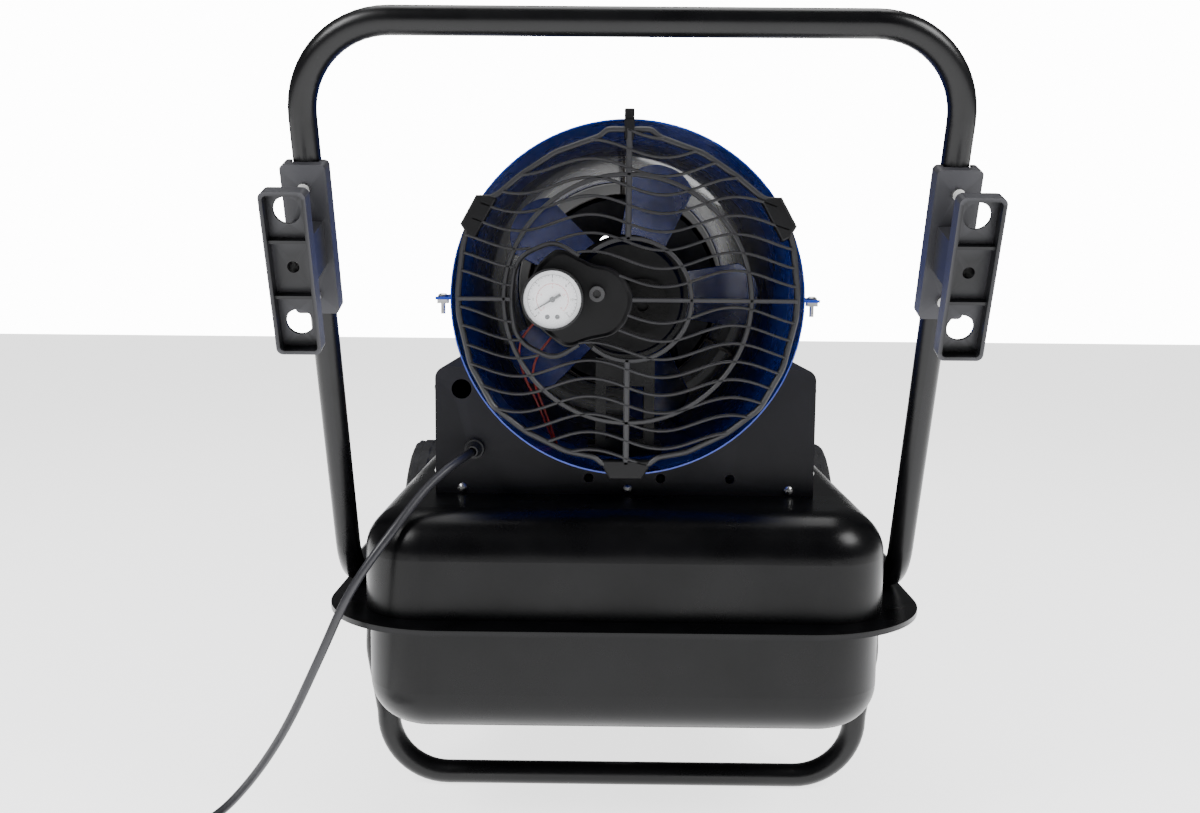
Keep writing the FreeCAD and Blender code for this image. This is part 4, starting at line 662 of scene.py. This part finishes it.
def build_black_marks(work):
    """The outer scale: an arc and ticks, every fifth one longer."""
    arc_strip(work, 20.6, 0.3, ZERO_ANGLE, ZERO_ANGLE - SWEEP, ARC_STEPS)
    for k in range(BLACK_TICKS + 1):
        start, width = (18.2, 0.55) if k % 5 == 0 else (19.3, 0.28)
        tick(work, ZERO_ANGLE - SWEEP * k / BLACK_TICKS, start, 20.8, width)


def build_red_marks(work):
    """The inner scale."""
    arc_strip(work, 13.2, 0.3, ZERO_ANGLE, ZERO_ANGLE - SWEEP, ARC_STEPS)
    for k in range(RED_TICKS + 1):
        tick(work, ZERO_ANGLE - SWEEP * k / RED_TICKS, 12.0 if k % 5 == 0 else 12.6, 13.3, 0.3)


SCREW_APART = 4.2
SCREW_DROP = 14.6
SCREW_RADIUS = 2.1


def build_screws(work):
    """The two round screw heads low on the dial."""
    for x in (-SCREW_APART, SCREW_APART):
        ring = [(DIAL_AT[0] + (x + SCREW_RADIUS * math.cos(t * math.pi / 8)) * MM,
                 DIAL_AT[2] + (SCREW_RADIUS * math.sin(t * math.pi / 8) - SCREW_DROP) * MM)
                for t in range(16)]
        flat_strip(work, ring)


piece("dial_scale_black", mesh_from(build_black_marks, "dial_scale_black"), "heater", "dial_white",
      "mark_black")
piece("dial_scale_red", mesh_from(build_red_marks, "dial_scale_red"), "heater", "dial_white", "mark_red")
piece("dial_screws", mesh_from(build_screws, "dial_screws"), "heater", "dial_white", "mark_black")


def dial_number(text, angle, radius, size, material):
    """A small printed number."""
    font = bpy.data.curves.new(f"dial_number_{material}_{text}", "FONT")
    font.body = text
    font.size = size * MM
    font.align_x = font.align_y = "CENTER"
    font.extrude = 0.04 * MM
    item = bpy.data.objects.new(f"dial_number_{material}_{text}", font)
    x, z = dial_point(angle, radius)
    item.location = (x, DIAL_AT[1] - 0.06 * MM, z)
    item.rotation_euler = (math.radians(90), 0, 0)
    link(item)
    bpy.context.view_layer.update()
    mesh = bpy.data.meshes.new_from_object(item.evaluated_get(bpy.context.evaluated_depsgraph_get()))
    mesh.transform(item.matrix_world)
    bpy.data.objects.remove(item)
    return piece(f"dial_number_{material}_{text}", mesh, "heater", "dial_white", material)


for k in range(7):
    dial_number(str(k * 2), ZERO_ANGLE - SWEEP * k / 6, 16.2, 3.0, "mark_black")
for k in range(5):
    dial_number(str(k * 4), ZERO_ANGLE - SWEEP * k / 4, 10.2, 2.2, "mark_red")

# ---------------------------------------------------------------- tyres with a blocky tread
TREAD_STEPS = 144
BEAD_RADIUS = 84 * MM
BLOCK_STEPS = 6
CUT_STEPS = 2
CUT_DEPTH = 2.4 * MM
RIB_GROOVE = 2.2 * MM
TREAD_POINTS = range(6, 16)
RIB_POINTS = (9, 12)


def tread_cut(step, index):
    """How deep the tread is cut at a step round the tyre and a point of its section."""
    if index in RIB_POINTS:
        return RIB_GROOVE
    shift = 2 if index % 2 else 0
    if index in TREAD_POINTS and (step + shift) % BLOCK_STEPS < CUT_STEPS:
        return CUT_DEPTH
    return 0.0


for name in ("left", "right"):
    low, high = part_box(f"tyre_{name}")
    centre = (low + high) / 2
    radius = (high.z - low.z) / 2
    half = (high.x - low.x) / 2
    one_side = [(half - 5 * MM, BEAD_RADIUS), (half - 3.5 * MM, BEAD_RADIUS + 2 * MM),
                (half - 1.5 * MM, BEAD_RADIUS + 10 * MM),
                (half - 0.6 * MM, BEAD_RADIUS + 16 * MM), (half, radius - 22 * MM),
                (half - 0.4 * MM, radius - 15 * MM), (half - 2 * MM, radius - 8.5 * MM),
                (18 * MM, radius - 3.4 * MM), (14 * MM, radius - 0.9 * MM), (7.5 * MM, radius),
                (5.5 * MM, radius)]
    profile = [(-x, r) for x, r in one_side] + one_side[::-1]

    def build_tyre(work):
        """A ring of cut sections round the wheel."""
        rings = []
        for k in range(TREAD_STEPS):
            angle = 2 * math.pi * k / TREAD_STEPS
            ring = []
            for index, (x, r) in enumerate(profile):
                r -= tread_cut(k, index)
                ring.append((centre.x + x, centre.y + r * math.cos(angle), centre.z + r * math.sin(angle)))
            rings.append(ring)
        loft(work, rings, True)

    tyre = piece(f"tread_{name}", mesh_from(build_tyre, f"tread_{name}"), f"wheel_{name}", "tyre_rubber")
    smooth_sides(tyre, 25)
    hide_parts(f"tyre_{name}")

# ---------------------------------------------------------------- leads seen through the guard
LEAD_ROUTES = {
    "fan_lead_a": [(-72, -300, 470), (-92, -303, 452), (-98, -300, 432), (-92, -290, 408), (-82, -282, 388),
                   (-74, -275, 366), (-66, -266, 346), (-62, -262, 330)],
    "fan_lead_b": [(-60, -296, 455), (-78, -300, 436), (-86, -297, 414), (-80, -286, 394), (-72, -278, 372),
                   (-66, -270, 352), (-60, -263, 334)],
}
LEAD_RADIUS = 1.1 * MM
for name, route in LEAD_ROUTES.items():
    tube_along(name, route, LEAD_RADIUS, "lead_red", 3, 12)
